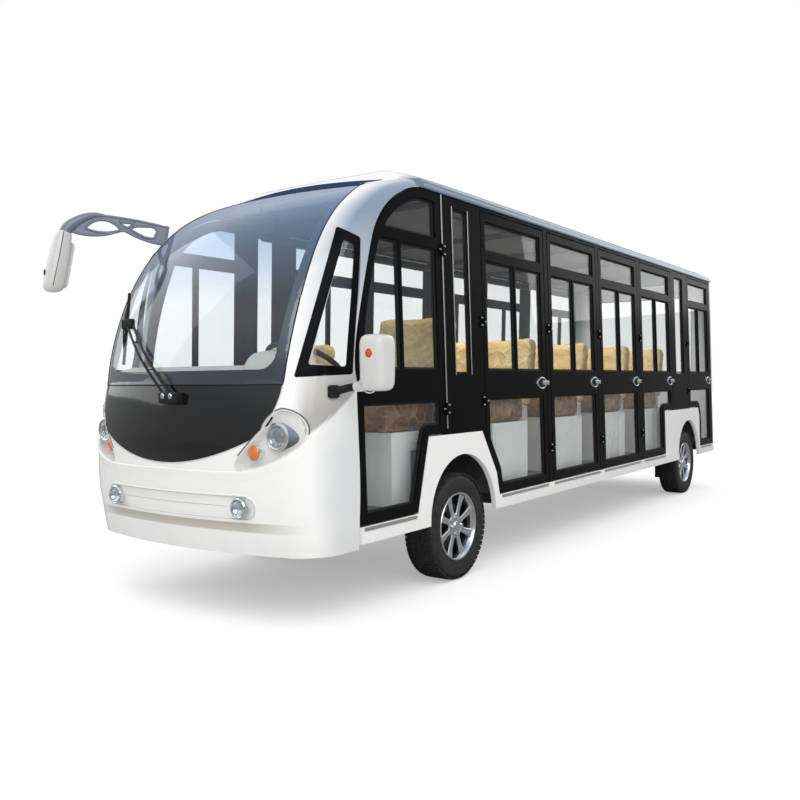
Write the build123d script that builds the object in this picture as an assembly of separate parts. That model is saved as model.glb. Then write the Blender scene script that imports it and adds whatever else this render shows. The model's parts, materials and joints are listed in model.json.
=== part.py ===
from build123d import *
from math import atan2, cos, pi, radians, sin, tan
import os

# An enclosed electric sightseeing cart with six doors a side. Lengths are in millimetres and
# angles in degrees. +X is the vehicle's left, +Y its rear and +Z up. Stations along Y are
# measured back from the front axle, and write_node moves the finished pieces so that the
# origin lies on the ground under the middle of the model.

# Wheels and axles
WHEELBASE = 3974
TYRE_RADIUS = 280.5
TYRE_WIDTH = 165
RIM_RADIUS = 178
RIM_WALL = 8
WHEEL_X = 627.5
SPOKES = 8
HUB_RADIUS = 62
AXLE_BEAM = 50
KINGPIN_X = 500
KINGPIN_RADIUS = 14
SEAT_GAP = 0.3

# Body outline
HALF_WIDTH = 746.5
SILL_Z = 407
SKIRT_BOTTOM_Z = 330
GUTTER_Z = 1990
LEAN = 1.6
WALL = 30
REAR_OVERHANG = 816
REAR_END = WHEELBASE + REAR_OVERHANG
REAR_BULGE = 60
REAR_HALF_WIDTH = 760
SIDE_END = REAR_END - WALL - SEAT_GAP
TAIL_LAMP_PROUD = 14
FRONT_SHELL_WALL = 20
GLASS_WALL = 6
RECESS = 11
ROOF_FRONT = -330
ROOF_WALL = 25
ROOF_HALF_WIDTH = 704
ROOF_RIM = 34
ROOF_RAMP = 75

# The roof's shoulder, as distance from the middle and rise over the gutter, and its crown's rise
ROOF_FULL = ((425, 154), 164)
ROOF_NOSE = ((425, 72), 84)
ROOF_FLANK_BULGE = 12
SHELL_GAP = 0.5
QUARTER_PILLAR = 60

# Fenders, and wheel arches as station and height of the middle and radius
FRONT_ARCH = (0, 330, 330)
REAR_ARCH = (WHEELBASE, 346, 318)
FENDER_TOP_Z = 770
REAR_FENDER = (WHEELBASE - 664, WHEELBASE + 312, WHEELBASE + 344)

# Doors
FIRST_DOOR_FRONT = 238
DOOR_POST = 50
REAR_PANEL_LEAD = 440
LAST_DOOR = (WHEELBASE + 33, WHEELBASE + 748)
DOOR_PITCH = (WHEELBASE - REAR_PANEL_LEAD + DOOR_POST - FIRST_DOOR_FRONT) / 4
OPENING_TOP_Z = 1966
OPENING_LIP = 20
DOOR_GAP = 7
DOOR_THICKNESS = 32
DOOR_FRAME = 46
TRANSOM_BAR = (1698, 1753)
BELT_BAND = (943, 1098)
SLIDER_STILE = 20
PANE = 5
PANE_GAP = 0.5
HINGE_REACH = 8
HINGE_RADIUS = 8
HINGE_HEIGHT = 60
HINGE_STRAP = 32
FRONT_HINGE_HEIGHTS = (900, 1700)
HANDLE_Z = 1023
HANDLE_INSET = 85

# Cabin
FLOOR_TOP_Z = 440
FLOOR_THICKNESS = 30
CABIN_HALF_WIDTH = 690
CUSHION_TOP_Z = 945
CUSHION_THICKNESS = 150
CEILING_Z = (GUTTER_Z - 12, GUTTER_Z - 4)
BOW_WIDTH = 46
BOW_LOW_Z = GUTTER_Z - 40
CEILING_X = 671
LUGGAGE_PAD = (-330, 330, WHEELBASE - 324, WHEELBASE + 716)
PAD_RISE = 4
FLAP_X = (548, 688)
FLAP_Z = (170, 560)
FLAP_THICKNESS = 5
CUSHION_LENGTH = 470
BACK_THICKNESS = 110
BACK_TOP_Z = 1310
DRIVER_BACK_TOP_Z = 1400
MATE_BACK_TOP_Z = 1270
BACK_LEAN = 12
BENCH_HALF_WIDTH = 655

FRONT_SEAT_ROW = -560
FRONT_SEAT_X = 410
FRONT_SEAT_HALF_WIDTH = 245
STEERING_CENTRE = (400, -850, 1120)
STEERING_RADIUS = 180
STEERING_COLUMN = 240
INTERIOR_MIRROR_X = (-150, 110)
INTERIOR_MIRROR_Y = (-700, -670)
INTERIOR_MIRROR_Z = (1790, 1870)

# Chassis
RAIL_X = 280
RAIL_HEIGHT = 80
RAIL_WIDTH = 60
RAIL_ENDS = (-980, WHEELBASE + 726)
BATTERY_X = (-240, 240)
BATTERY_Y = (1340, 2160)
BATTERY_Z = (190, FLOOR_TOP_Z - FLOOR_THICKNESS - SEAT_GAP)
MOTOR_MEMBER = WHEELBASE - 874
CROSSMEMBERS = (-960, -440, 440, BATTERY_Y[0] - 40, BATTERY_Y[1] + 40, MOTOR_MEMBER,
                WHEELBASE - 484, WHEELBASE + 446, WHEELBASE + 701)
OUTRIGGERS = (-700, 700, 1500, 2300, MOTOR_MEMBER, WHEELBASE + 526)
OUTRIGGER_HEIGHT = 50
OUTRIGGER_X = HALF_WIDTH - WALL - 0.4
DECK_FRONT = -1000
DECK_GAP = 4
WELL_HALF_LENGTH = 370
WELL_INNER_X = 375
WELL_TOP_Z = 700
WELL_WALL = 8
LUG = 20
DRUM_RADIUS = 115
DRUM_OUTER_X = 590
SPINDLE_RADIUS = 22
SPINDLE_END_X = 690
GEAR_RADIUS = 110
GEAR_WIDTH = 150

# Front lamps as distance from the middle, height, radius and station of the face
HEADLAMP = (575, 816, 56, -1244)
INDICATOR = (475, 746, 29, -1247)
FOG_LAMP = (410, 515, 42, -1293)
FOG_RECESS = (960, 100, 49)

# The slanting floor of a lamp pod, as the plan of its two ends, and the thickness of its wall
POD_FLOOR = ((380, -1264), (700, -1158))
POD_WALL = 6

# Mirrors and wiper
MIRROR_LEFT_BOX = ((855, -1050, 1000), (980, -925, 1235))
MIRROR_RIGHT_FOOT = (-950, -1247, 1508)
MIRROR_RIGHT_TOP = (-922, -1195, 1832)
MIRROR_RIGHT_SECTION = (90, 108)
MIRROR_ARM_ROOT = (-690, -760)
MIRROR_ARM_TIP = (-940, -1230)
WIPER_FRONT = -1362
WIPER_ARM = ((20, -1345, 985), (-195, -1305, 1160), (-430, -1200, 1330))
WIPER_BLADE = ((-400, -1240, 1130), (-460, -1155, 1480))

LEFT, RIGHT = 1, -1

# Doors of one side behind the front axle: number, front edge, rear edge and hinge heights.
DOORS = tuple(
    (number, FIRST_DOOR_FRONT + place * DOOR_PITCH,
     FIRST_DOOR_FRONT + (place + 1) * DOOR_PITCH - DOOR_POST, hinge_heights)
    for place, (number, hinge_heights) in enumerate((
        (2, (930, 1360)), (3, (620, 1360)), (4, (620, 1360)), (5, (620, 1360))))
) + ((6, *LAST_DOOR, (930, 1360)),)
FRONT_DOOR_FRONT = -893
FRONT_DOOR_REAR = -165

# Fixed side windows: station of the middle, width, bottom and top.
REAR_PANEL_MIDDLE = WHEELBASE - 204
SIDE_WINDOWS = ((24, 150, 1077, 1930), (REAR_PANEL_MIDDLE, 230, 1077, 1930))

# Rows of full-width benches behind the driver, each as far behind its door's front edge: the
# station of the cushion's front edge. The ceiling's bows stand over the door posts.
BENCH_SETBACK = 193
BENCH_ROWS = tuple(front + BENCH_SETBACK for _, front, _, _ in DOORS[:-1])
BOW_STATIONS = (-60, *(front - DOOR_POST / 2 for _, front, _, _ in DOORS[1:-1]),
                REAR_PANEL_MIDDLE)

# Level sections of the front shell: height, half width, nose, shoulder and corner radius.
# The bumper is set in under a step band.
BUMPER_SECTIONS = (
    (310, 735, -1270, -1000, 200),
    (412, 740, -1284, -1010, 213),
)
BAND_SECTIONS = (
    (412, 740, -1284, -1010, 213),
    (450, 741, -1303, -1012, 218),
)
LOWER_SECTIONS = (
    (450, 741, -1303, -1012, 218),
    (550, 745, -1325, -1020, 230),
    (800, 740, -1338, -1000, 265),
    (1050, 733, -1310, -940, 290),
)
UPPER_SECTIONS = (
    (1050, 733, -1310, -940, 290),
    (1400, 723, -1205, -840, 310),
    (1700, 715, -1020, -700, 240),
    (1880, 709, -815, -540, 185),
    (1980, 698, -620, -380, 155),
    (2060, 610, -370, -180, 110),
)
MODEL_MIDDLE = (REAR_END + REAR_BULGE + TAIL_LAMP_PROUD + WIPER_FRONT) / 2


def write_node(name, *solids):
    """Write one node as a STEP file, moved to the model's own origin."""
    shape = solids[0] if len(solids) == 1 else Compound(children=list(solids))
    export_step(Pos(0, -MODEL_MIDDLE, 0) * shape, f"parts/{name}.step")


def parts_of(shape):
    """Give the separate solids of a shape."""
    return list(shape.solids())


def mirrored(shape):
    """Give the right-hand twin of a left-hand shape."""
    return shape.mirror(Plane.YZ)


def pair(shape):
    """Give the solids of a left-hand shape and of its right-hand twin."""
    return parts_of(shape) + parts_of(mirrored(shape))


def span(y0, y1, z0, z1, radius=0):
    """Give a side-view rectangle from its edges."""
    size = (y1 - y0, z1 - z0)
    outline = RectangleRounded(*size, radius) if radius else Rectangle(*size)
    return Pos((y0 + y1) / 2, (z0 + z1) / 2) * outline


def slab(x0, x1, y0, y1, z0, z1):
    """Give a box from its faces."""
    return Pos((x0 + x1) / 2, (y0 + y1) / 2, (z0 + z1) / 2) * Box(x1 - x0, y1 - y0, z1 - z0)


def side_plate(outline, depth, outer=0):
    """Raise a side-view outline to a plate whose outer face lies at x = outer."""
    return Pos(outer, 0, -SILL_Z) * extrude(Plane.YZ * outline, -depth)


def on_left_side(shape):
    """Set a flat side shape on the left wall, which leans in above the sill."""
    return Pos(HALF_WIDTH, 0, SILL_Z) * Rot(0, -LEAN, 0) * shape


def side_reach(z):
    """Give how far the outer face of the leaning side lies from the middle at a height."""
    return HALF_WIDTH - (z - SILL_Z) * tan(radians(LEAN))


def rod(start, end, radius):
    """Give a round bar between two points."""
    axis = Vector(*end) - Vector(*start)
    return extrude(Plane(origin=start, z_dir=axis) * Circle(radius), axis.length)


def disc(x0, x1, y, z, radius):
    """Give a disc that lies across the vehicle."""
    return rod((x0, y, z), (x1, y, z), radius)


# Side-view outlines
def skirt_and_fenders():
    """Give the white sill and both fenders of one side, before the arches are cut."""
    corners = (
        (-889, SKIRT_BOTTOM_Z), (-889, SILL_Z), (-436, SILL_Z), (-324, FENDER_TOP_Z),
        (200, FENDER_TOP_Z), (348, 533), (375, SILL_Z), (REAR_FENDER[0], SILL_Z),
        (REAR_FENDER[0], FENDER_TOP_Z), (REAR_FENDER[1], FENDER_TOP_Z), (REAR_FENDER[2], 700),
        (REAR_FENDER[2], SILL_Z),
        (SIDE_END, SILL_Z),
        (SIDE_END, SKIRT_BOTTOM_Z),
    )
    return make_face(Polyline(*corners, close=True))


def skirt_outline():
    """Give the sill and fenders of one side with both wheel arches cut."""
    outline = skirt_and_fenders()
    for station, z, radius in (FRONT_ARCH, REAR_ARCH):
        outline = outline - Pos(station, z) * Circle(radius)
    return outline


def front_door_opening():
    """Give the arched opening of the front door, above the sill and ahead of the fender."""
    top = OPENING_TOP_Z + OPENING_LIP
    arch = (
        Polyline((FRONT_DOOR_REAR, top), (FRONT_DOOR_REAR, SILL_Z),
                 (-889, SILL_Z), (FRONT_DOOR_FRONT, 1090)),
        ThreePointArc((FRONT_DOOR_FRONT, 1090), (-852, 1360), (-742, 1700)),
        ThreePointArc((-742, 1700), (-640, 1840), (-500, 1935)),
        ThreePointArc((-500, 1935), (-420, 1968), (ROOF_FRONT, top)),
        Line((ROOF_FRONT, top), (FRONT_DOOR_REAR, top)),
    )
    return make_face([edge for run in arch for edge in run.edges()]) - skirt_and_fenders()


def door_opening(front, rear):
    """Give the opening of a door behind the front axle, above the sill and fenders."""
    return span(front, rear, SILL_Z, OPENING_TOP_Z) - skirt_and_fenders()


def door_windows(leaf, front, rear):
    """Give the panes' openings inside a door's outline: transom, sliding pair and lower."""
    clear = offset(leaf, -DOOR_FRAME)
    middle = (front + rear) / 2
    stile = (middle - SLIDER_STILE / 2, middle + SLIDER_STILE / 2)
    bars = span(front, rear, *TRANSOM_BAR) + span(front, rear, *BELT_BAND)
    return clear - bars - span(*stile, BELT_BAND[1], TRANSOM_BAR[0])


def hinge(edge, z, towards, part):
    """Give half a hinge: the door's barrel with its strap, or the pillar's pin ends."""
    height = HINGE_HEIGHT / 3
    levels = (0,) if part == "door" else (-height, height)
    bodies = []
    for level in levels:
        middle = z - SILL_Z + level
        tall = height - (2 * SEAT_GAP if part == "door" else 0)
        barrel = Pos(HINGE_REACH, edge, middle) * Cylinder(HINGE_RADIUS, tall)
        way = towards if part == "door" else -towards
        strap = Pos(HINGE_REACH / 2, edge + way * HINGE_STRAP / 2, middle) * Box(
            HINGE_REACH, HINGE_STRAP, tall)
        bodies.append(barrel + strap)
    return bodies


def handle(y):
    """Give the pointed oval escutcheon and the lever of a door handle."""
    half, drop, proud = 48, 20, 8
    plate = make_face([
        ThreePointArc((y - half, HANDLE_Z), (y, HANDLE_Z + drop), (y + half, HANDLE_Z)),
        ThreePointArc((y + half, HANDLE_Z), (y, HANDLE_Z - drop), (y - half, HANDLE_Z)),
    ])
    lever = span(y - 10, y + 50, HANDLE_Z - 8, HANDLE_Z + 8)
    return side_plate(plate, proud, proud) + side_plate(lever, 2.5 * proud, 2.5 * proud)


def door(front, rear, opening, edge, grip, hinge_heights):
    """Give a door hinged at edge, with its handle at grip: framed leaf, hinges and panes."""
    leaf = offset(opening, -DOOR_GAP)
    windows = door_windows(leaf, front, rear)
    frame = side_plate(leaf - windows, DOOR_THICKNESS)
    way = 1 if edge == front else -1
    for z in hinge_heights:
        frame = frame + hinge(edge, z, way, "door")
    frame = frame + handle(grip)
    pane_face = offset(windows, -PANE_GAP)
    panes = side_plate(pane_face, PANE, -(DOOR_THICKNESS - PANE) / 2)
    return parts_of(frame) + parts_of(panes)


def side_frame():
    """Give the black cant rail and pillars with both fixed panels of the left side."""
    wall = span(FRONT_DOOR_REAR, SIDE_END, SILL_Z, GUTTER_Z) - skirt_and_fenders()
    for _, front, rear, _ in DOORS:
        wall = wall - door_opening(front, rear)
    for middle, width, low, high in SIDE_WINDOWS:
        wall = wall - span(middle - width / 2, middle + width / 2, low, high, 25)
    frame = side_plate(wall, WALL)
    for _, front, _, hinge_heights in DOORS:
        for z in hinge_heights:
            frame = frame + hinge(front, z, 1, "pillar")
    for z in FRONT_HINGE_HEIGHTS:
        frame = frame + hinge(FRONT_DOOR_REAR, z, -1, "pillar")
    return frame


def side_panes():
    """Give the panes of the fixed side windows of the left side."""
    panes = []
    for middle, width, low, high in SIDE_WINDOWS:
        half = width / 2 - PANE_GAP
        outline = span(middle - half, middle + half, low + PANE_GAP, high - PANE_GAP, 25)
        panes.append(side_plate(outline, PANE, -(WALL - PANE) / 2))
    return panes


# Front shell
def level_section(z, half_width, nose, shoulder, corner, inset=0.0):
    """Give one level section of the front: a flat nose arc, two corner arcs and the sides."""
    half_width, nose, corner = half_width - inset, nose + inset, corner - inset
    depth = shoulder - nose
    corner_x = half_width - corner
    nose_radius = (corner_x**2 + depth**2 - corner**2) / (2 * (depth - corner))
    turn = atan2(corner_x, nose + nose_radius - shoulder)
    joint = (nose_radius * sin(turn), nose + nose_radius - nose_radius * cos(turn))
    middle = (turn + pi / 2) / 2
    bend = (corner_x + corner * sin(middle), shoulder - corner * cos(middle))
    runs = (
        Line((half_width, 0), (half_width, shoulder)),
        ThreePointArc((half_width, shoulder), bend, joint),
        ThreePointArc(joint, (0, nose), (-joint[0], joint[1])),
        ThreePointArc((-joint[0], joint[1]), (-bend[0], bend[1]), (-half_width, shoulder)),
        Line((-half_width, shoulder), (-half_width, 0)),
        Line((-half_width, 0), (half_width, 0)),
    )
    return Pos(0, 0, z) * make_face([run.edge() for run in runs])


def front_body(inset=0.0):
    """Give the front as a solid, lofted through its level sections."""
    runs = (BUMPER_SECTIONS, BAND_SECTIONS, LOWER_SECTIONS, UPPER_SECTIONS)
    bodies = [loft([level_section(*row, inset) for row in rows]) for rows in runs]
    return bodies[0] + bodies[1:]


def front_view(outline, y0=-1500, y1=-340):
    """Raise a front-view outline to a prism along Y."""
    return Pos(0, y0, 0) * extrude(Plane.XZ * outline, -(y1 - y0))


def across(outline):
    """Raise a side-view outline to a prism through both sides of the body."""
    return extrude(Plane.YZ * outline, HALF_WIDTH + 100, both=True)


def windscreen_outline(grow=0.0):
    """Give the windscreen's outline from the front."""
    base, waist, shoulder, top = 1032, (593, 1387), (540, 1874), (430, 2046)
    runs = (
        Polyline((-584, base), (584, base)),
        ThreePointArc((584, base), (592, 1210), waist),
        ThreePointArc(waist, (576, 1640), shoulder),
        ThreePointArc(shoulder, (506, 1965), top),
        Polyline(top, (-top[0], top[1])),
        ThreePointArc((-top[0], top[1]), (-506, 1965), (-shoulder[0], shoulder[1])),
        ThreePointArc((-shoulder[0], shoulder[1]), (-576, 1640), (-waist[0], waist[1])),
        ThreePointArc((-waist[0], waist[1]), (-592, 1210), (-584, base)),
    )
    face = make_face([edge for run in runs for edge in run.edges()])
    return offset(face, grow) if grow else face


def panel_outline(grow=0.0):
    """Give the outline of the black panel under the windscreen from the front."""
    top, low = 1032 - SHELL_GAP, 692
    runs = (
        Polyline((-584, top), (584, top)),
        ThreePointArc((584, top), (556, 905), (471, 800)),
        ThreePointArc((471, 800), (0, low), (-471, 800)),
        ThreePointArc((-471, 800), (-556, 905), (-584, top)),
    )
    face = make_face([edge for run in runs for edge in run.edges()])
    return offset(face, grow) if grow else face


def quarter_outline(grow=0.0):
    """Give the outline of the quarter window from the side."""
    corners = ((-1150, 1062), (-915, 1082), (-815, 1668), (-878, 1712))
    face = make_face(Polyline(*corners, close=True))
    return offset(face, grow) if grow else face


def pod_outline():
    """Give the teardrop recess round the left headlamp and indicator from the front."""
    crown, cheek, chin = (592, 926), (679, 826), (650, 766)
    tip, notch, waist = (440, 684), (404, 712), (522, 842)
    runs = (
        ThreePointArc(crown, (659, 892), cheek),
        ThreePointArc(cheek, (671, 792), chin),
        ThreePointArc(chin, (560, 712), tip),
        ThreePointArc(tip, (403, 688), notch),
        ThreePointArc(notch, (466, 783), waist),
        ThreePointArc(waist, (552, 900), crown),
    )
    return make_face([run.edge() for run in runs])


def fog_recess():
    """Give the pill pressed into the bumper round the fog lamps."""
    wide, tall, radius = FOG_RECESS
    pill = Pos(0, FOG_LAMP[1]) * RectangleRounded(wide, tall, radius)
    return (front_body() - front_body(RECESS)) & front_view(pill)


def behind_pod_floor(shift=0.0):
    """Give the space behind the slanting floors of the lamp pods, moved back by a shift."""
    (x0, y0), (x1, y1) = POD_FLOOR
    slope = (y1 - y0) / (x1 - x0)
    y_middle, y_side = y0 - slope * x0 + shift, y1 + slope * (HALF_WIDTH - x1) + shift
    corners = ((0, y_middle), (HALF_WIDTH, y_side), (HALF_WIDTH, 0), (0, 0))
    wedge = extrude(make_face(Polyline(*corners, close=True)), GUTTER_Z)
    return wedge + mirrored(wedge)


def pod_zone(grow=0.0):
    """Give the prisms of both lamp pods, from the front back to their slanting floors."""
    prism = front_view(offset(pod_outline(), grow) if grow else pod_outline())
    return (prism + mirrored(prism)) - behind_pod_floor(grow)


def front_pieces():
    """Give the white front shell, the windscreen, the black panel and the quarter panes."""
    body = front_body()
    shell = body - front_body(FRONT_SHELL_WALL)
    side_view = span(-1500, ROOF_FRONT, 300, 2100) - span(-889, 0, 300, 1000)
    side_view = side_view - front_door_opening()
    shell = shell & across(side_view)
    pillar_zone = front_view(windscreen_outline(QUARTER_PILLAR))
    panel = shell & front_view(panel_outline())
    shell = shell + (pod_zone(POD_WALL) & front_body(FRONT_SHELL_WALL / 2))
    glass = (body - front_body(GLASS_WALL)) & across(side_view)
    windscreen = glass & front_view(windscreen_outline())
    quarters = (glass & across(quarter_outline())) - pillar_zone
    shell = shell - front_view(windscreen_outline(SHELL_GAP))
    shell = shell - front_view(panel_outline(SHELL_GAP))
    pillar_zone = front_view(windscreen_outline(QUARTER_PILLAR - SHELL_GAP))
    shell = shell - (across(quarter_outline(SHELL_GAP)) - pillar_zone)
    return shell - pod_zone() - fog_recess(), windscreen, panel, quarters


def roof_section(profile, inset=0.0):
    """Give a cross-section of the roof: a low rim each side, sloping flanks and a flat camber."""
    (shoulder, rise), crown = profile
    half = ROOF_HALF_WIDTH - inset
    rim = GUTTER_Z + ROOF_RIM - inset
    shoulder_z, crown_z = GUTTER_Z + rise - inset, GUTTER_Z + crown - inset
    flank = ((half + shoulder) / 2, (rim + shoulder_z) / 2 + ROOF_FLANK_BULGE)
    runs = (
        Line((-half, GUTTER_Z), (-half, rim)),
        ThreePointArc((-half, rim), (-flank[0], flank[1]), (-shoulder, shoulder_z)),
        ThreePointArc((-shoulder, shoulder_z), (0, crown_z), (shoulder, shoulder_z)),
        ThreePointArc((shoulder, shoulder_z), flank, (half, rim)),
        Line((half, rim), (half, GUTTER_Z)),
        Line((half, GUTTER_Z), (-half, GUTTER_Z)),
    )
    return make_face([run.edge() for run in runs])


def roof_body(inset=0.0):
    """Give the roof as a solid: a ramp behind the windscreen, then a straight run."""
    ramp_end = ROOF_FRONT + ROOF_RAMP
    front = Pos(0, ROOF_FRONT, 0) * (Plane.XZ * roof_section(ROOF_NOSE, inset))
    full = Pos(0, ramp_end, 0) * (Plane.XZ * roof_section(ROOF_FULL, inset))
    return loft([front, full]) + extrude(full, -(REAR_END - ramp_end))


def roof_shell():
    """Give the roof shell, open below."""
    inside = roof_body(ROOF_WALL)
    return roof_body() - inside


def rear_section(y, z0, z1, half, bulge):
    """Give a plan section of the rear wall: straight inside and bowed outside."""
    runs = (
        Line((half, y - WALL), (half, y)),
        ThreePointArc((half, y), (0, y + bulge), (-half, y)),
        Line((-half, y), (-half, y - WALL)),
        ThreePointArc((-half, y - WALL), (0, y + bulge - WALL), (half, y - WALL)),
    )
    return Pos(0, 0, z0) * extrude(make_face([run.edge() for run in runs]), z1 - z0)


def rear_window_zone(grow=0.0):
    """Give the prism of the rear window's opening."""
    outline = Pos(0, 1480) * RectangleRounded(1060 + 2 * grow, 760 + 2 * grow, 60 + grow)
    return Pos(0, REAR_END - 200, 0) * extrude(Plane.XZ * outline, -400)


def rear_wall():
    """Give the bowed rear wall, as wide as the leaning sides, with its window cut."""
    body = rear_section(REAR_END, SKIRT_BOTTOM_Z, GUTTER_Z - SHELL_GAP, REAR_HALF_WIDTH,
                        REAR_BULGE)
    low, high = side_reach(SKIRT_BOTTOM_Z), side_reach(GUTTER_Z)
    outline = Polyline((-low, SKIRT_BOTTOM_Z), (low, SKIRT_BOTTOM_Z), (high, GUTTER_Z),
                       (-high, GUTTER_Z), close=True)
    body = body & front_view(make_face(outline), REAR_END - 100, REAR_END + 200)
    return body - rear_window_zone(), body & rear_window_zone(-PANE_GAP)


def floor_deck():
    """Give the floor with a boxed housing over each wheel."""
    low = FLOOR_TOP_Z - FLOOR_THICKNESS
    deck = slab(-CABIN_HALF_WIDTH, CABIN_HALF_WIDTH, DECK_FRONT, REAR_END - WALL - DECK_GAP,
                low, FLOOR_TOP_Z)
    for station, half_length in ((0, WELL_HALF_LENGTH), (WHEELBASE, WELL_HALF_LENGTH)):
        for side in (LEFT, RIGHT):
            edges = sorted((side * WELL_INNER_X, side * CABIN_HALF_WIDTH))
            y0, y1 = station - half_length, station + half_length
            box = slab(edges[0], edges[1], y0, y1, low, WELL_TOP_Z)
            inside = (side * (WELL_INNER_X + WELL_WALL), side * (CABIN_HALF_WIDTH + 1))
            x0, x1 = sorted(inside)
            hollow = slab(x0, x1, y0 + WELL_WALL, y1 - WELL_WALL, low - 1, WELL_TOP_Z - WELL_WALL)
            deck = deck + box - hollow
    return deck + slab(*LUGGAGE_PAD, FLOOR_TOP_Z, FLOOR_TOP_Z + PAD_RISE)


def mudflaps():
    """Give the flaps that hang ahead of the rear wheels, fixed inside the wheel housings."""
    front = WHEELBASE - WELL_HALF_LENGTH + WELL_WALL + SEAT_GAP
    flap = slab(*FLAP_X, front, front + FLAP_THICKNESS, *FLAP_Z)
    return pair(flap)


def ceiling():
    """Give the ceiling panel with its cross bows, held between the cant rails."""
    panel = slab(-CEILING_X, CEILING_X, ROOF_FRONT + DECK_GAP, REAR_END - WALL - DECK_GAP, *CEILING_Z)
    for station in BOW_STATIONS:
        half = BOW_WIDTH / 2
        panel = panel + slab(-CEILING_X, CEILING_X, station - half, station + half, BOW_LOW_Z,
                             CEILING_Z[0])
    return panel


def chassis_frame():
    """Give the two rails, their crossmembers and the outriggers that carry the skirts."""
    top = FLOOR_TOP_Z - FLOOR_THICKNESS
    low = top - RAIL_HEIGHT
    half = RAIL_WIDTH / 2
    frame = slab(RAIL_X - half, RAIL_X + half, *RAIL_ENDS, low, top)
    frame = frame + slab(-RAIL_X - half, -RAIL_X + half, *RAIL_ENDS, low, top)
    for y in CROSSMEMBERS:
        frame = frame + slab(-RAIL_X, RAIL_X, y - 25, y + 25, low, top)
    for y in OUTRIGGERS:
        under = top - OUTRIGGER_HEIGHT
        frame = frame + slab(RAIL_X, OUTRIGGER_X, y - 20, y + 20, under, top)
        frame = frame + slab(-OUTRIGGER_X, -RAIL_X, y - 20, y + 20, under, top)
    return frame


def leaf_spring(x, station):
    """Give a leaf spring with hangers under one rail, seated on the axle."""
    low = FLOOR_TOP_Z - FLOOR_THICKNESS - RAIL_HEIGHT
    z = TYRE_RADIUS + AXLE_BEAM / 2
    leaf = slab(x - 25, x + 25, station - 420, station + 420, z, z + 10)
    leaf = leaf + slab(x - 25, x + 25, station - 260, station + 260, z + 10, z + 18)
    for end in (-410, 410):
        hanger = slab(x - 25, x + 25, station + end - 10, station + end + 10, z, low)
        leaf = leaf + hanger
    return leaf


def front_axle():
    """Give the front axle beam with its springs, kingpin eyes and kingpins."""
    half = AXLE_BEAM / 2
    beam = slab(-KINGPIN_X, KINGPIN_X, -half + 3, half - 3, TYRE_RADIUS - half, TYRE_RADIUS + half)
    for side in (LEFT, RIGHT):
        x = side * KINGPIN_X
        beam = beam + leaf_spring(side * RAIL_X, 0)
        eye = Pos(x, 0, TYRE_RADIUS) * Cylinder(half - 1, AXLE_BEAM)
        pin = Pos(x, 0, TYRE_RADIUS) * Cylinder(KINGPIN_RADIUS, AXLE_BEAM + 2 * LUG + 4)
        beam = beam + eye + pin
    return beam


def knuckle(side):
    """Give a steering knuckle: two lugs on the kingpin, a web, a brake drum and a spindle."""
    half = AXLE_BEAM / 2 + SEAT_GAP
    block = slab(KINGPIN_X - 28, KINGPIN_X + 45, -30, 30,
                 TYRE_RADIUS - half - LUG, TYRE_RADIUS + half + LUG)
    throat = slab(KINGPIN_X - 60, KINGPIN_X + half + 1, -60, 60,
                  TYRE_RADIUS - half, TYRE_RADIUS + half)
    bore = Pos(KINGPIN_X, 0, TYRE_RADIUS) * Cylinder(KINGPIN_RADIUS + SEAT_GAP, 300)
    drum = disc(KINGPIN_X + 45, DRUM_OUTER_X, 0, TYRE_RADIUS, DRUM_RADIUS)
    spindle = disc(DRUM_OUTER_X, SPINDLE_END_X, 0, TYRE_RADIUS, SPINDLE_RADIUS)
    body = block - throat - bore + drum + spindle
    return body if side == LEFT else mirrored(body)


def rear_axle():
    """Give the rear axle: tube, gear housing, drums, spindles and springs."""
    axle = disc(-DRUM_OUTER_X + 40, DRUM_OUTER_X - 40, WHEELBASE, TYRE_RADIUS, 34)
    axle = axle + disc(-GEAR_WIDTH / 2, GEAR_WIDTH / 2, WHEELBASE, TYRE_RADIUS, GEAR_RADIUS)
    for side in (LEFT, RIGHT):
        drum = disc(side * (DRUM_OUTER_X - 42), side * DRUM_OUTER_X, WHEELBASE, TYRE_RADIUS,
                    DRUM_RADIUS)
        spindle = disc(side * DRUM_OUTER_X, side * SPINDLE_END_X, WHEELBASE, TYRE_RADIUS,
                       SPINDLE_RADIUS)
        axle = axle + drum + spindle + leaf_spring(side * RAIL_X, WHEELBASE)
    return axle


def drive_motor():
    """Give the motor, its neck bolted to the front of the axle's gear housing."""
    rear = WHEELBASE - GEAR_RADIUS
    body = rod((0, rear - 285, TYRE_RADIUS), (0, rear - 15, TYRE_RADIUS), 105)
    neck = rod((0, rear - 15, TYRE_RADIUS), (0, rear + 30, TYRE_RADIUS), 62)
    housing = disc(-GEAR_WIDTH, GEAR_WIDTH, WHEELBASE, TYRE_RADIUS, GEAR_RADIUS + SEAT_GAP)
    return body + neck - housing


def ring(outer, inner, width):
    """Give a flat ring about the X axis, centred on the origin."""
    tube = Cylinder(outer, width) - Cylinder(inner, width + 2)
    return Rot(0, 90, 0) * tube


def tyre():
    """Give a tyre about the X axis with rounded shoulders."""
    half = TYRE_WIDTH / 2
    profile = Polyline(
        (RIM_RADIUS + SEAT_GAP, half - 12), (RIM_RADIUS + 40, half), (TYRE_RADIUS - 34, half),
        (TYRE_RADIUS - 8, half - 12), (TYRE_RADIUS, half - 34), (TYRE_RADIUS, -half + 34),
        (TYRE_RADIUS - 8, -half + 12), (TYRE_RADIUS - 34, -half), (RIM_RADIUS + 40, -half),
        (RIM_RADIUS + SEAT_GAP, -half + 12), close=True)
    return Rot(0, 90, 0) * revolve(Plane.XZ * make_face(profile), Axis.Z)


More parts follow.
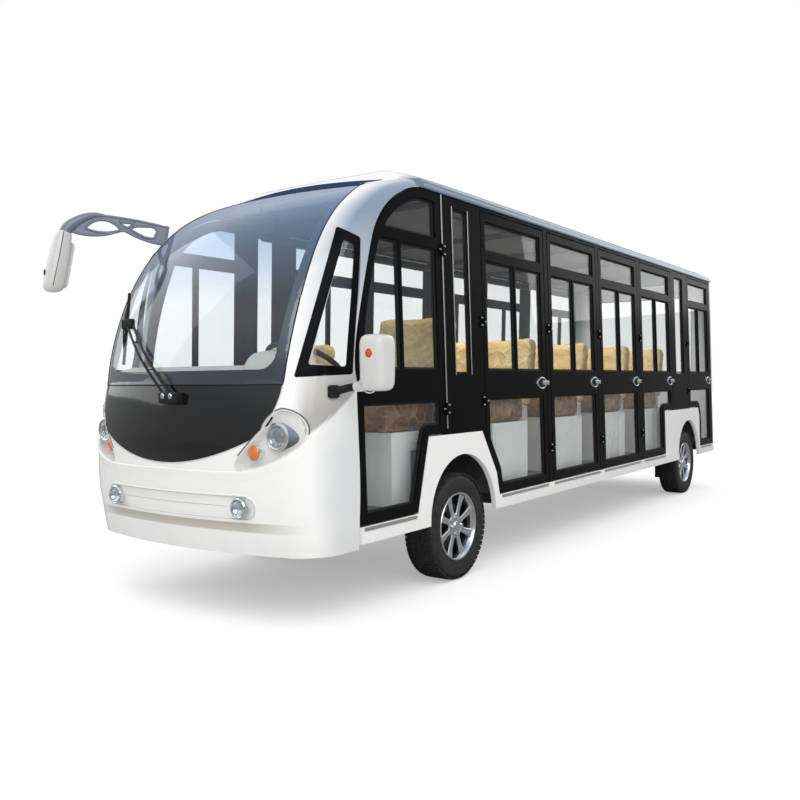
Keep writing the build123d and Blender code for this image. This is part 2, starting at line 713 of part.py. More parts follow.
def wheel_rim():
    """Give a spoked alloy rim about the X axis, its face on +X."""
    half = TYRE_WIDTH / 2
    barrel = ring(RIM_RADIUS, RIM_RADIUS - RIM_WALL, 2 * half - 26)
    face_x = half - 30
    hub = disc(DRUM_OUTER_X + 3 - WHEEL_X, face_x + 8, 0, 0, HUB_RADIUS)
    spoke = slab(face_x - 16, face_x, -16, 16, HUB_RADIUS - 8, RIM_RADIUS - RIM_WALL / 2)
    rim = barrel + hub
    for turn in range(SPOKES):
        rim = rim + Rot(turn * 360 / SPOKES, 0, 0) * spoke
    bore = disc(-200, SPINDLE_END_X + 2 - WHEEL_X, 0, 0, SPINDLE_RADIUS + SEAT_GAP)
    return rim - bore


def wheel_at(shape, side, station):
    """Set a wheel piece at its axle's end, its face outwards."""
    turned = shape if side == LEFT else mirrored(shape)
    return Pos(side * WHEEL_X, station, TYRE_RADIUS) * turned


def bench(y, half_width, x=0, back_top=BACK_TOP_Z):
    """Give a bench's hollow base, its cushion and its leaning back."""
    depth = CUSHION_LENGTH
    seat_z = CUSHION_TOP_Z - CUSHION_THICKNESS
    base = slab(x - half_width, x + half_width, y + 30, y + depth, FLOOR_TOP_Z, seat_z - SEAT_GAP)
    base = base - slab(x - half_width + 15, x + half_width - 15, y + 45, y + depth - 15,
                       FLOOR_TOP_Z - 1, seat_z - 15)
    for edges in ((-CABIN_HALF_WIDTH, -WELL_INNER_X), (WELL_INNER_X, CABIN_HALF_WIDTH)):
        base = base - slab(edges[0] - SEAT_GAP, edges[1] + SEAT_GAP,
                           -WELL_HALF_LENGTH - SEAT_GAP, WELL_HALF_LENGTH + SEAT_GAP,
                           FLOOR_TOP_Z - 1, WELL_TOP_Z + SEAT_GAP)
    cushion = slab(x - half_width, x + half_width, y, y + depth - 10, seat_z, CUSHION_TOP_Z)
    foot = Pos(x, y + depth + 4, CUSHION_TOP_Z - 50) * Rot(-BACK_LEAN, 0, 0)
    tall = back_top - CUSHION_TOP_Z + 60
    back = foot * slab(-half_width, half_width, 0, BACK_THICKNESS, 0, tall)
    beam = slab(x - half_width + 40, x + half_width - 40, y + depth - 16, y + depth + 80,
                seat_z - 80, CUSHION_TOP_Z)
    beam = beam - foot * slab(-half_width, half_width, -40, 200, -SEAT_GAP, tall)
    base = base + (beam - slab(x - half_width, x + half_width, y, y + depth + 1,
                               seat_z - SEAT_GAP, CUSHION_TOP_Z + 1))
    return base, cushion, back


def dashboard():
    """Give the dashboard: a side-view profile trimmed to the inside of the front."""
    profile = Polyline(
        (-1400, 700), (-1400, 1000), (-1250, 1055), (-1010, 1120), (-930, 1085), (-955, 900),
        (-1040, 700), close=True)
    bar = extrude(Plane.YZ * make_face(profile), 640, both=True)
    return (bar & front_body(FRONT_SHELL_WALL + SEAT_GAP)) - pod_zone(POD_WALL + SEAT_GAP)


def steering_wheel():
    """Give the steering wheel with its hub, spokes and column on the driver's side."""
    x, y, z = STEERING_CENTRE
    plane = Plane(origin=(x, y, z), z_dir=(0, 0.5, 0.85))
    rim = plane * Torus(STEERING_RADIUS, 13)
    hub = plane * Cylinder(45, 40)
    spokes = plane * (Box(2 * STEERING_RADIUS, 24, 12) + Box(24, 2 * STEERING_RADIUS, 12))
    column = plane * Pos(0, 0, -STEERING_COLUMN / 2) * Cylinder(24, STEERING_COLUMN)
    return rim + hub + spokes + column - dashboard()


def interior_mirror():
    """Give the interior mirror on its stem, which is glued to the windscreen."""
    glass = slab(*INTERIOR_MIRROR_X, *INTERIOR_MIRROR_Y, *INTERIOR_MIRROR_Z)
    x = sum(INTERIOR_MIRROR_X) / 2
    stem = slab(x - 12, x + 12, *INTERIOR_MIRROR_Y, INTERIOR_MIRROR_Z[1] - 1, GUTTER_Z)
    return glass + (stem & front_body(GLASS_WALL + SEAT_GAP))


def front_lamps(x, z, radius, station, backing):
    """Give a left and a right lamp that face straight ahead and stand on what is behind them."""
    lamp = rod((x, station, z), (x, station + 3 * radius, z), radius)
    return pair(lamp - backing)


def mirror_left():
    """Give the left mirror: a rounded housing on a short bracket."""
    low, high = MIRROR_LEFT_BOX
    housing = slab(low[0], high[0], low[1], high[1], low[2], high[2])
    housing = fillet(housing.edges(), 24)
    arm = rod((700, -1010, 1010), (low[0] + 20, -990, 1020), 15)
    base = rod((700, -1010, 1010), (748, -1040, 1000), 26)
    return (housing + arm + base) - front_body(-SEAT_GAP)


def arm_outline():
    """Give the right mirror's lattice arm, as distance out from its root and height."""
    heel, peak, elbow = (-40, 1886), (338, 1928), (513, 1822)
    wrist, waist, toe = (453, 1786), (205, 1844), (-40, 1780)
    runs = (
        ThreePointArc(heel, (170, 1918), peak),
        ThreePointArc(peak, (448, 1891), elbow),
        Polyline(elbow, (elbow[0], wrist[1]), wrist, (wrist[0], 1816)),
        ThreePointArc((wrist[0], 1816), (350, 1806), (256, 1827)),
        Line((256, 1827), waist),
        ThreePointArc(waist, (120, 1811), toe),
        Line(toe, heel),
    )
    plate = make_face([edge for run in runs for edge in run.edges()])
    lens = make_face([
        ThreePointArc((396, 1847), (318, 1897), (218, 1852)),
        ThreePointArc((218, 1852), (310, 1830), (396, 1847)),
    ])
    gusset = make_face(Polyline((230, 1896), (146, 1893), (178, 1864), close=True))
    root_hole = make_face(Polyline(
        (171, 1855), (136, 1880), (49, 1880), (28, 1857), (50, 1815), (94, 1821), close=True))
    return plate - lens - gusset - root_hole


def mirror_right():
    """Give the right mirror: a lattice arm and a leaning housing that hangs from its end."""
    foot, top = Vector(*MIRROR_RIGHT_FOOT), Vector(*MIRROR_RIGHT_TOP)
    axis = top - foot
    housing = Box(*MIRROR_RIGHT_SECTION, axis.length)
    upright = Plane(origin=(foot + top) / 2, x_dir=(1, 0, 0), z_dir=axis)
    housing = upright * fillet(housing.edges(), 28)
    root, tip = Vector(*MIRROR_ARM_ROOT), Vector(*MIRROR_ARM_TIP)
    reach = tip - root
    plane = Plane(origin=root, x_dir=reach, z_dir=reach.cross(Vector(0, 0, 1)))
    arm = extrude(plane * arm_outline(), 9, both=True)
    return (housing + arm) - front_body(-SEAT_GAP)


def wiper():
    """Give the wiper: its bracket, the double arm and the blade."""
    bracket = slab(-10, 110, WIPER_FRONT, -1250, 950, 1005) - front_body(-SEAT_GAP)
    path = WIPER_ARM
    arms = bracket
    for lift in (0, 45):
        for start, end in zip(path, path[1:]):
            raised = [(x + lift, y, z) for x, y, z in (start, end)]
            arms = arms + rod(raised[0], raised[1], 5) + Pos(*raised[1]) * Sphere(5)
    blade = rod(WIPER_BLADE[0], WIPER_BLADE[1], 7)
    return arms + blade - front_body(-SEAT_GAP)


def tail_lamps():
    """Give four upright lamp blocks on the rear wall."""
    proud = rear_section(REAR_END + TAIL_LAMP_PROUD, 300, 2000, REAR_HALF_WIDTH, REAR_BULGE)
    proud = proud - rear_section(REAR_END + SEAT_GAP, 299, 2001, REAR_HALF_WIDTH, REAR_BULGE)
    zones = [Pos(x, 760) * RectangleRounded(110, 260, 30) for x in (-590, 590)]
    prism = Pos(0, REAR_END - 100, 0) * extrude(Plane.XZ * (zones[0] + zones[1]), -400)
    return proud & prism


os.makedirs("parts", exist_ok=True)

shell, windscreen, panel, quarters = front_pieces()
write_node("front_shell", shell)
write_node("windscreen", windscreen)
write_node("front_panel", panel)
write_node("roof_shell", roof_shell())
write_node("ceiling", ceiling())

frame = on_left_side(side_frame())
write_node("side_frame_left", frame)
write_node("side_frame_right", mirrored(frame))
skirt = on_left_side(side_plate(skirt_outline(), WALL))
write_node("side_skirt_left", skirt)
write_node("side_skirt_right", mirrored(skirt))
wall, rear_pane = rear_wall()
write_node("rear_wall", wall)
side_glass = [pane for plate in side_panes() for pane in pair(on_left_side(plate))]
write_node("fixed_windows", *side_glass, *parts_of(quarters), rear_pane)

opening = front_door_opening()
leaf = door(FRONT_DOOR_FRONT, FRONT_DOOR_REAR, opening, FRONT_DOOR_REAR,
            FRONT_DOOR_FRONT + HANDLE_INSET, FRONT_HINGE_HEIGHTS)
write_node("door_left_1", *[on_left_side(solid) for solid in leaf])
write_node("door_right_1", *[mirrored(on_left_side(solid)) for solid in leaf])
for number, front, rear, hinge_heights in DOORS:
    leaf = door(front, rear, door_opening(front, rear), front, rear - HANDLE_INSET,
                hinge_heights)
    write_node(f"door_left_{number}", *[on_left_side(solid) for solid in leaf])
    write_node(f"door_right_{number}", *[mirrored(on_left_side(solid)) for solid in leaf])

write_node("chassis_frame", chassis_frame())
write_node("floor_deck", floor_deck())
write_node("mudflaps", *mudflaps())
write_node("front_axle", front_axle())
write_node("rear_axle", rear_axle())
write_node("battery_pack", slab(*BATTERY_X, *BATTERY_Y, *BATTERY_Z))
write_node("drive_motor", drive_motor())
for name, side in (("left", LEFT), ("right", RIGHT)):
    write_node(f"knuckle_{name}", knuckle(side))
    for end, station in (("front", 0), ("rear", WHEELBASE)):
        write_node(f"tyre_{end}_{name}", wheel_at(tyre(), side, station))
        write_node(f"rim_{end}_{name}", wheel_at(wheel_rim(), side, station))

bases, cushions, backs = [], [], []
for station in BENCH_ROWS:
    base, cushion, back = bench(station, BENCH_HALF_WIDTH)
    bases.append(base)
    cushions.append(cushion)
    backs.append(back)
for x, back_top in ((-FRONT_SEAT_X, MATE_BACK_TOP_Z), (FRONT_SEAT_X, DRIVER_BACK_TOP_Z)):
    base, cushion, back = bench(FRONT_SEAT_ROW, FRONT_SEAT_HALF_WIDTH, x, back_top)
    bases.append(base)
    cushions.append(cushion)
    backs.append(back)
write_node("bench_bases", *bases)
write_node("seat_cushions", *cushions)
write_node("seat_backs", *backs)

write_node("dashboard", dashboard())
write_node("steering_wheel", steering_wheel())
write_node("interior_mirror", interior_mirror())
write_node("headlamps", *front_lamps(*HEADLAMP, behind_pod_floor(-SEAT_GAP)))
write_node("indicators", *front_lamps(*INDICATOR, behind_pod_floor(-SEAT_GAP)))
write_node("fog_lamps", *front_lamps(*FOG_LAMP, front_body(RECESS - SEAT_GAP)))
write_node("tail_lamps", *parts_of(tail_lamps()))
write_node("mirror_left", mirror_left())
write_node("mirror_right", mirror_right())
write_node("wiper", wiper())
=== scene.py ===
"""Dresses an enclosed sightseeing cart: finishes, glass, wheels, lamps, trim, cabin, stage."""
import json
import math

import bmesh
import bpy
from mathutils import Matrix, Vector, noise
from mathutils.bvhtree import BVHTree


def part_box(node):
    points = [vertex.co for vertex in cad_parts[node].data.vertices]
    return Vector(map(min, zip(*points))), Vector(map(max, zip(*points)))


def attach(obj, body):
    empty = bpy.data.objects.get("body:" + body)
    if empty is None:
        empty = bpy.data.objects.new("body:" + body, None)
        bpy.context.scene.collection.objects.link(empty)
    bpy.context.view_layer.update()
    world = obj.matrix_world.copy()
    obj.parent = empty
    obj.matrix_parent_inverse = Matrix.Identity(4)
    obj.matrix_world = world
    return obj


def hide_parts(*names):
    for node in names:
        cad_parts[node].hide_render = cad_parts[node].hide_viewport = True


bl_info = {
    "name": "Sightseeing Cart",
    "version": (1, 0, 0),
    "blender": (4, 5, 0),
    "location": "View3D > Sidebar > Cart",
    "description": "Dresses the frame of an enclosed sightseeing cart",
    "category": "Object",
}

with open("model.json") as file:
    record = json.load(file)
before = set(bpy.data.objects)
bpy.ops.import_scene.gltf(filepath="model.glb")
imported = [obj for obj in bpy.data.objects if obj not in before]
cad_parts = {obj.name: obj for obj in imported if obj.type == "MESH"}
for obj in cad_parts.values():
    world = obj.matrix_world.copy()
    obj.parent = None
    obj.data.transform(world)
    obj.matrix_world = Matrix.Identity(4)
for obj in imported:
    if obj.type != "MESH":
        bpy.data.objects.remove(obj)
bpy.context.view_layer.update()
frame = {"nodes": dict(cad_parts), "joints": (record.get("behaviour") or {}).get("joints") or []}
JOINTS = {joint["name"]: joint for joint in frame["joints"]}

# Places are in metres. Stations are measured back from the front axle.
AXLE_Y = JOINTS["wheel_front_left_spin"]["pos_m"][1]
HUB_X = JOINTS["wheel_front_left_spin"]["pos_m"][0]
HUB_Z = JOINTS["wheel_front_left_spin"]["pos_m"][2]
WHEELBASE = JOINTS["wheel_rear_left_spin"]["pos_m"][1] - AXLE_Y
DOOR_NUMBERS = range(1, 7)

# The sides lean in above the sill.
LEAN = math.radians(1.6)
HALF_WIDTH = 0.7465
SILL_Z = 0.407
FLOOR_Z = 0.44
DRIVER_X = 0.400
ON_LEFT = (Matrix.Translation((HALF_WIDTH, AXLE_Y, SILL_Z)) @ Matrix.Rotation(-LEAN, 4, "Y")
           @ Matrix.Translation((0, 0, -SILL_Z)))
MIRROR = Matrix.Scale(-1, 4, (1, 0, 0))
SIDES = {"left": ON_LEFT, "right": MIRROR @ ON_LEFT}
TAU = 2 * math.pi


# Outlines
def arc(start, middle, end, count=10):
    """Give points along the arc through three plane points, without the last one."""
    (ax, ay), (bx, by), (cx, cy) = start, middle, end
    twice = 2 * (ax * (by - cy) + bx * (cy - ay) + cx * (ay - by))
    a2, b2, c2 = ax * ax + ay * ay, bx * bx + by * by, cx * cx + cy * cy
    x = (a2 * (by - cy) + b2 * (cy - ay) + c2 * (ay - by)) / twice
    y = (a2 * (cx - bx) + b2 * (ax - cx) + c2 * (bx - ax)) / twice
    radius = math.hypot(ax - x, ay - y)
    first = math.atan2(ay - y, ax - x)
    turn = (math.atan2(cy - y, cx - x) - first) % TAU
    if (math.atan2(by - y, bx - x) - first) % TAU > turn:
        turn -= TAU
    steps = [first + turn * i / count for i in range(count)]
    return [(x + radius * math.cos(a), y + radius * math.sin(a)) for a in steps]


def line(start, end, count=1):
    """Give evenly spaced points from start towards end, without the end."""
    return [tuple(a + (b - a) * i / count for a, b in zip(start, end)) for i in range(count)]


def circle(radius, count=32, phase=0.0):
    """Give a circle of plane points."""
    turns = [phase + TAU * i / count for i in range(count)]
    return [(radius * math.cos(a), radius * math.sin(a)) for a in turns]


def oval(wide, high, count):
    """Give an ellipse of plane points from its half sizes."""
    return [(a * wide, b * high) for a, b in circle(1.0, count)]


def round_box(width, height, radius, count=5, middle=(0.0, 0.0)):
    """Give a rectangle with rounded corners as plane points, turning left."""
    points = []
    for sx, sy, first in ((1, 1, 0), (-1, 1, 1), (-1, -1, 2), (1, -1, 3)):
        cx = middle[0] + sx * (width / 2 - radius)
        cy = middle[1] + sy * (height / 2 - radius)
        for i in range(count + 1):
            a = (first + i / count) * TAU / 4
            points.append((cx + radius * math.cos(a), cy + radius * math.sin(a)))
    return points


# Parts of meshes, each a pair of points and faces
def lathe(profile, count=48, closed=False):
    """Turn a profile of (radius, height) about the Z axis."""
    rings = [[(r * math.cos(a), r * math.sin(a), h) for r, h in profile]
             for a in (TAU * i / count for i in range(count))]
    return stitched(rings, True, closed)


def stitched(rings, round_trip, closed, caps=False):
    """Join rows of points with faces."""
    wide = len(rings[0])
    points = [point for ring in rings for point in ring]
    faces = []
    for i in range(len(rings) if round_trip else len(rings) - 1):
        j = (i + 1) % len(rings)
        for k in range(wide if closed else wide - 1):
            m = (k + 1) % wide
            faces.append([i * wide + k, j * wide + k, j * wide + m, i * wide + m])
    if caps:
        faces.append(list(range(wide))[::-1])
        faces.append([(len(rings) - 1) * wide + k for k in range(wide)])
    return points, faces


def solid(rings):
    """Join rings of points into a closed body with flat ends."""
    return stitched(rings, False, True, caps=True)


def sheet(rows, thick, closed=True):
    """Join rows of points into a thin sheet, with a back moved by a distance and direction."""
    back = [[Vector(p) + Vector(thick) for p in row] for row in reversed(rows)]
    return stitched(rows + back, True, closed)


def sweep(path, outline, ups=None, closed=False, scales=None):
    """Carry a closed outline of (across, up) along a path of points."""
    path = [Vector(p) for p in path]
    count = len(path)
    rings = []
    up = None
    for i, here in enumerate(path):
        before = path[i - 1] if closed or i else here
        after = path[(i + 1) % count] if closed or i < count - 1 else here
        along = (after - before).normalized()
        if ups is not None:
            up = Vector(ups[i])
        elif up is None:
            up = Vector((0, 0, 1)) if abs(along.z) < 0.9 else Vector((0, 1, 0))
        up = (up - along * up.dot(along)).normalized()
        side = along.cross(up)
        size = scales[i] if scales else 1.0
        rings.append([here + side * (a * size) + up * (b * size) for a, b in outline])
    return stitched(rings, closed, True, caps=not closed)


def tube(path, radius, count=10, scales=None):
    """Run a round bar along a path."""
    return sweep(path, circle(radius, count), scales=scales)


def prism(outline, low, high):
    """Raise an outline of (y, z) between two distances along X."""
    return solid([[(x, a, b) for a, b in outline] for x in (low, high)])


def block(low, high):
    """Give a box from its lowest and highest corners."""
    (x0, y0, z0), (x1, y1, z1) = low, high
    return prism([(y0, z0), (y1, z0), (y1, z1), (y0, z1)], x0, x1)


def moulding(loop, profile):
    """Run a closed profile of (inset, height) round a loop of (y, z), mitred at its corners."""
    count = len(loop)
    area = sum(loop[i - 1][0] * loop[i][1] - loop[i][0] * loop[i - 1][1] for i in range(count))
    loop = loop if area > 0 else loop[::-1]
    rings = []
    for i in range(count):
        here = Vector(loop[i])
        a = (here - Vector(loop[i - 1])).normalized()
        b = (Vector(loop[(i + 1) % count]) - here).normalized()
        inward = Vector((-a.y - b.y, a.x + b.x))
        inward = inward / max(0.4, inward.length_squared / 2)
        rings.append([(h, here.x + inward.x * d, here.y + inward.y * d) for d, h in profile])
    return stitched(rings, True, True)


def rounded(part, radius, steps=2, angle=30):
    """Round the sharp edges of a part."""
    work = mesh_of(part)
    bevel_sharp(work, radius, steps, angle)
    return part_of(work)


def mesh_of(part):
    """Give a part as an editable mesh with its doubles merged."""
    work = bmesh.new()
    points = [work.verts.new(p) for p in part[0]]
    for face in part[1]:
        work.faces.new([points[i] for i in face])
    bmesh.ops.remove_doubles(work, verts=work.verts, dist=1e-6)
    bmesh.ops.recalc_face_normals(work, faces=work.faces)
    return work


def part_of(work):
    """Give an editable mesh back as a part, and free it."""
    work.verts.index_update()
    part = ([v.co.copy() for v in work.verts], [[v.index for v in f.verts] for f in work.faces])
    work.free()
    return part


def bevel_sharp(work, radius, steps=2, angle=30):
    """Bevel the edges of an editable mesh that are sharper than an angle in degrees."""
    limit = math.radians(angle)
    edges = [e for e in work.edges if e.is_manifold and e.calc_face_angle(0) > limit]
    bmesh.ops.bevel(work, geom=edges, offset=radius, segments=steps, profile=0.5,
                    affect="EDGES", clamp_overlap=True)


def grown(loop, distance):
    """Push a closed loop of plane points outwards by a distance."""
    count = len(loop)
    area = sum(loop[i - 1][0] * loop[i][1] - loop[i][0] * loop[i - 1][1] for i in range(count))
    turn = distance if area > 0 else -distance
    moved = []
    for i, (x, z) in enumerate(loop):
        ahead, behind = Vector(loop[(i + 1) % count]), Vector(loop[i - 1])
        along = (ahead - behind).normalized()
        moved.append((x + along.y * turn, z - along.x * turn))
    return moved


def shrunk(loop, keep, spine):
    """Draw a closed loop in towards the nearest points of a straight spine."""
    start, end = Vector(spine[0]), Vector(spine[1])
    run = end - start
    drawn = []
    for point in loop:
        along = max(0.0, min(1.0, (Vector(point) - start).dot(run) / run.length_squared))
        foot = start + run * along
        drawn.append(tuple(foot + (Vector(point) - foot) * keep))
    return drawn


def mirrored_half(half):
    """Give a closed loop from its left half, which starts and ends on the middle line."""
    return half + [(-x, z) for x, z in reversed(half[1:-1])]


def egg(sections, count=28, power=2.6):
    """Stack rounded level sections of (height, x, y, half x, half y) into a closed body."""
    rings = []
    for height, x, y, wide, deep in sections:
        ring = []
        for a, b in circle(1.0, count):
            ring.append((x + wide * math.copysign(abs(a) ** (2 / power), a),
                         y + deep * math.copysign(abs(b) ** (2 / power), b), height))
        rings.append(ring)
    return solid(rings)


def bar(low, high, radius, steps=3):
    """Give a box with rounded edges."""
    return rounded(block(low, high), radius, steps)


def smooth_path(points, steps):
    """Run a curve through points that turns evenly at each of them."""
    points = [Vector(p) for p in points]
    ends = [2 * points[0] - points[1]] + points + [2 * points[-1] - points[-2]]
    path = []
    for a, b, c, d in zip(ends, ends[1:], ends[2:], ends[3:]):
        for i in range(steps):
            t = i / steps
            path.append(0.5 * (2 * b + (c - a) * t + (2 * a - 5 * b + 4 * c - d) * t * t
                               + (3 * b - a - 3 * c + d) * t ** 3))
    return path + [points[-1]]


class Shape:
    """The faces of one piece while they are collected."""

    def __init__(self, *parts):
        self.points = []
        self.faces = []
        for part in parts:
            self.add(part)

    def add(self, part, matrix=None):
        """Add a part, moved by a matrix."""
        base = len(self.points)
        self.points += [matrix @ Vector(p) if matrix else Vector(p) for p in part[0]]
        self.faces += [[base + i for i in face] for face in part[1]]
        return self

    def part(self):
        """Give the collected faces as one part."""
        return self.points, self.faces

    def piece(self, name, coat, body, slot, *nodes, smooth=35, place=None):
        """Turn the faces into a piece that rides on a body and may stand for CAD nodes."""
        work = mesh_of(self.part())
        if place is not None:
            work.transform(place)
            bmesh.ops.recalc_face_normals(work, faces=work.faces)
        mesh = bpy.data.meshes.new(name)
        work.to_mesh(mesh)
        work.free()
        return dress(mesh, name, coat, body, nodes, smooth)


def dress(mesh, name, coat, body, nodes=(), smooth=35):
    """Link a mesh as a finished piece."""
    mesh.polygons.foreach_set("use_smooth", [True] * len(mesh.polygons))
    mesh.set_sharp_from_angle(angle=math.radians(smooth))
    mesh.materials.clear()
    mesh.materials.append(finish(coat))
    item = bpy.data.objects.new(name, mesh)
    bpy.context.scene.collection.objects.link(item)
    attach(item, body)
    if nodes:
        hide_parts(*nodes)
    weighted = item.modifiers.new("Weighted normals", "WEIGHTED_NORMAL")
    weighted.keep_sharp = True
    return item


# Copies of the CAD nodes
def solids_of(node):
    """Give each separate solid of a CAD node as a part, from front to rear."""
    work = bmesh.new()
    work.from_mesh(frame["nodes"][node].data)
    bmesh.ops.remove_doubles(work, verts=work.verts, dist=2e-6)
    work.verts.ensure_lookup_table()
    seen = [False] * len(work.verts)
    found = []
    for start in work.verts:
        if seen[start.index]:
            continue
        seen[start.index] = True
        queue, faces = [start], {}
        while queue:
            vert = queue.pop()
            for face in vert.link_faces:
                faces[face.index] = face
            for edge in vert.link_edges:
                other = edge.other_vert(vert)
                if not seen[other.index]:
                    seen[other.index] = True
                    queue.append(other)
        order = {}
        rows = [[order.setdefault(v.index, len(order)) for v in faces[key].verts]
                for key in sorted(faces)]
        found.append(([work.verts[i].co.copy() for i in order], rows))
    work.free()
    return sorted(found, key=lambda part: min(p.y for p in part[0]))


def softened(part, radius):
    """Merge a CAD solid's flat faces and round its sharp edges."""
    work = mesh_of(part)
    bmesh.ops.dissolve_limit(work, angle_limit=math.radians(0.5), verts=work.verts,
                             edges=work.edges)
    bevel_sharp(work, radius)
    return part_of(work)


def copied(node, radius):
    """Collect a CAD node's solids, each with its edges rounded."""
    return Shape(*(softened(part, radius) for part in solids_of(node)))


def is_pane(part, place):
    """Tell a thin pane from a framed leaf by its depth in the side's own frame."""
    flat = place.inverted()
    depths = [(flat @ p).x for p in part[0]]
    return max(depths) - min(depths) < 0.008


def outer_loops(part, place):
    """Give the loops round a flat side solid's outer face, as (y, z) in the side's own frame."""
    flat = place.inverted()
    work = mesh_of(([flat @ p for p in part[0]], part[1]))
    outer = max(v.co.x for v in work.verts)
    front = {f for f in work.faces if min(v.co.x for v in f.verts) > outer - 1e-4}
    follow = {}
    for edge in work.edges:
        if sum(face in front for face in edge.link_faces) == 1:
            for a, b in (tuple(edge.verts), tuple(edge.verts)[::-1]):
                follow.setdefault(a, []).append(b)
    loops = []
    while follow:
        start = next(iter(follow))
        loop, here, last = [start], follow[start][0], start
        while here is not start:
            loop.append(here)
            here, last = next(v for v in follow[here] if v is not last), here
        for vert in loop:
            del follow[vert]
        loops.append(simple([(v.co.y, v.co.z) for v in loop]))
    work.free()
    return loops


def simple(loop):
    """Drop the points of a loop that lie on straight runs."""
    kept = []
    for i, here in enumerate(loop):
        a, b = Vector(here) - Vector(loop[i - 1]), Vector(loop[(i + 1) % len(loop)]) - Vector(here)
        if a.length > 1e-5 and b.length > 1e-5 and a.angle(b) > 0.01:
            kept.append(here)
    return kept


class Skin:
    """The outer face of the front, found by rays from ahead."""

    def __init__(self, *nodes):
        points, faces = [], []
        for node in nodes:
            mesh = frame["nodes"][node].data
            base = len(points)
            points += [v.co.copy() for v in mesh.vertices]
            faces += [[base + i for i in p.vertices] for p in mesh.polygons]
        self.tree = BVHTree.FromPolygons(points, faces)

    def hit(self, x, z):
        """Give the foremost point at a place seen from ahead, and the way out of it."""
        best = None
        for dx, dz in ((0, 0), (0.0015, 0), (-0.0015, 0), (0, 0.0015), (0, -0.0015)):
            start = Vector((x + dx, -5, z + dz))
            point, normal, _, _ = self.tree.ray_cast(start, Vector((0, 1, 0)))
            if point is not None and (best is None or point.y < best[0].y - 0.004):
                best = (Vector((x, point.y, z)), normal if normal.y < 0 else -normal)
        if best is None:
            raise ValueError(f"no front surface at {x:.3f}, {z:.3f}")
        return best

    def slant(self, across, z):
        """Give the foremost point seen from the front corner, at a distance across the view."""
        best = None
        for da, dz in ((0, 0), (0.002, 0), (-0.002, 0), (0, 0.002), (0, -0.002)):
            run = (across + da) * math.sqrt(0.5)
            start = Vector((run + 2, AXLE_Y + run - 2, z + dz))
            point, normal, _, _ = self.tree.ray_cast(start, Vector((-1, 1, 0)).normalized())
            if point is not None:
                depth = point.y - point.x
                if best is None or depth < best[2] - 0.004:
                    best = (point, normal if normal.y - normal.x < 0 else -normal, depth)
        if best is None:
            raise ValueError(f"no corner surface at {across:.3f}, {z:.3f}")
        return best[:2]

    def strip(self, outline, section, closed=True, out=0.0):
        """Sweep a section of (across, up) along a front-view outline of (x, z)."""
        hits = [self.hit(x, z) for x, z in outline]
        path = [point + normal * out for point, normal in hits]
        return sweep(path, section, [normal for _, normal in hits], closed)


# Finishes
class Field:
    """A socket of a node tree that takes Python's operators."""

    def __init__(self, tree, socket):
        self.tree = tree
        self.socket = socket

    def math(self, operation, *values):
        """Add a Math node on this value and others."""
        node = self.tree.nodes.new("ShaderNodeMath")
        node.operation = operation
        for place, value in enumerate(values):
            if isinstance(value, Field):
                self.tree.links.new(value.socket, node.inputs[place])
            else:
                node.inputs[place].default_value = value
        return Field(self.tree, node.outputs[0])

    def __add__(self, other):
        return self.math("ADD", self, other)

    __radd__ = __add__

    def __sub__(self, other):
        return self.math("SUBTRACT", self, other)

    def __rsub__(self, other):
        return self.math("SUBTRACT", other, self)

    def __mul__(self, other):
        return self.math("MULTIPLY", self, other)

    __rmul__ = __mul__

    def __pow__(self, other):
        return self.math("POWER", self, other)

    def above(self, edge, softness):
        """Give 0 below an edge and 1 above it, over a soft step."""
        node = self.tree.nodes.new("ShaderNodeMapRange")
        self.tree.links.new(self.socket, node.inputs["Value"])
        node.inputs["From Min"].default_value = edge - softness
        node.inputs["From Max"].default_value = edge + softness
        return Field(self.tree, node.outputs[0])


def set_stops(ramp, stops):
    """Set the stops of a colour ramp from pairs of place and colour."""
    while len(ramp.elements) < len(stops):
        ramp.elements.new(0.5)
    for element, (position, colour) in zip(ramp.elements, stops):
        element.position = position
        element.color = (*colour, 1)


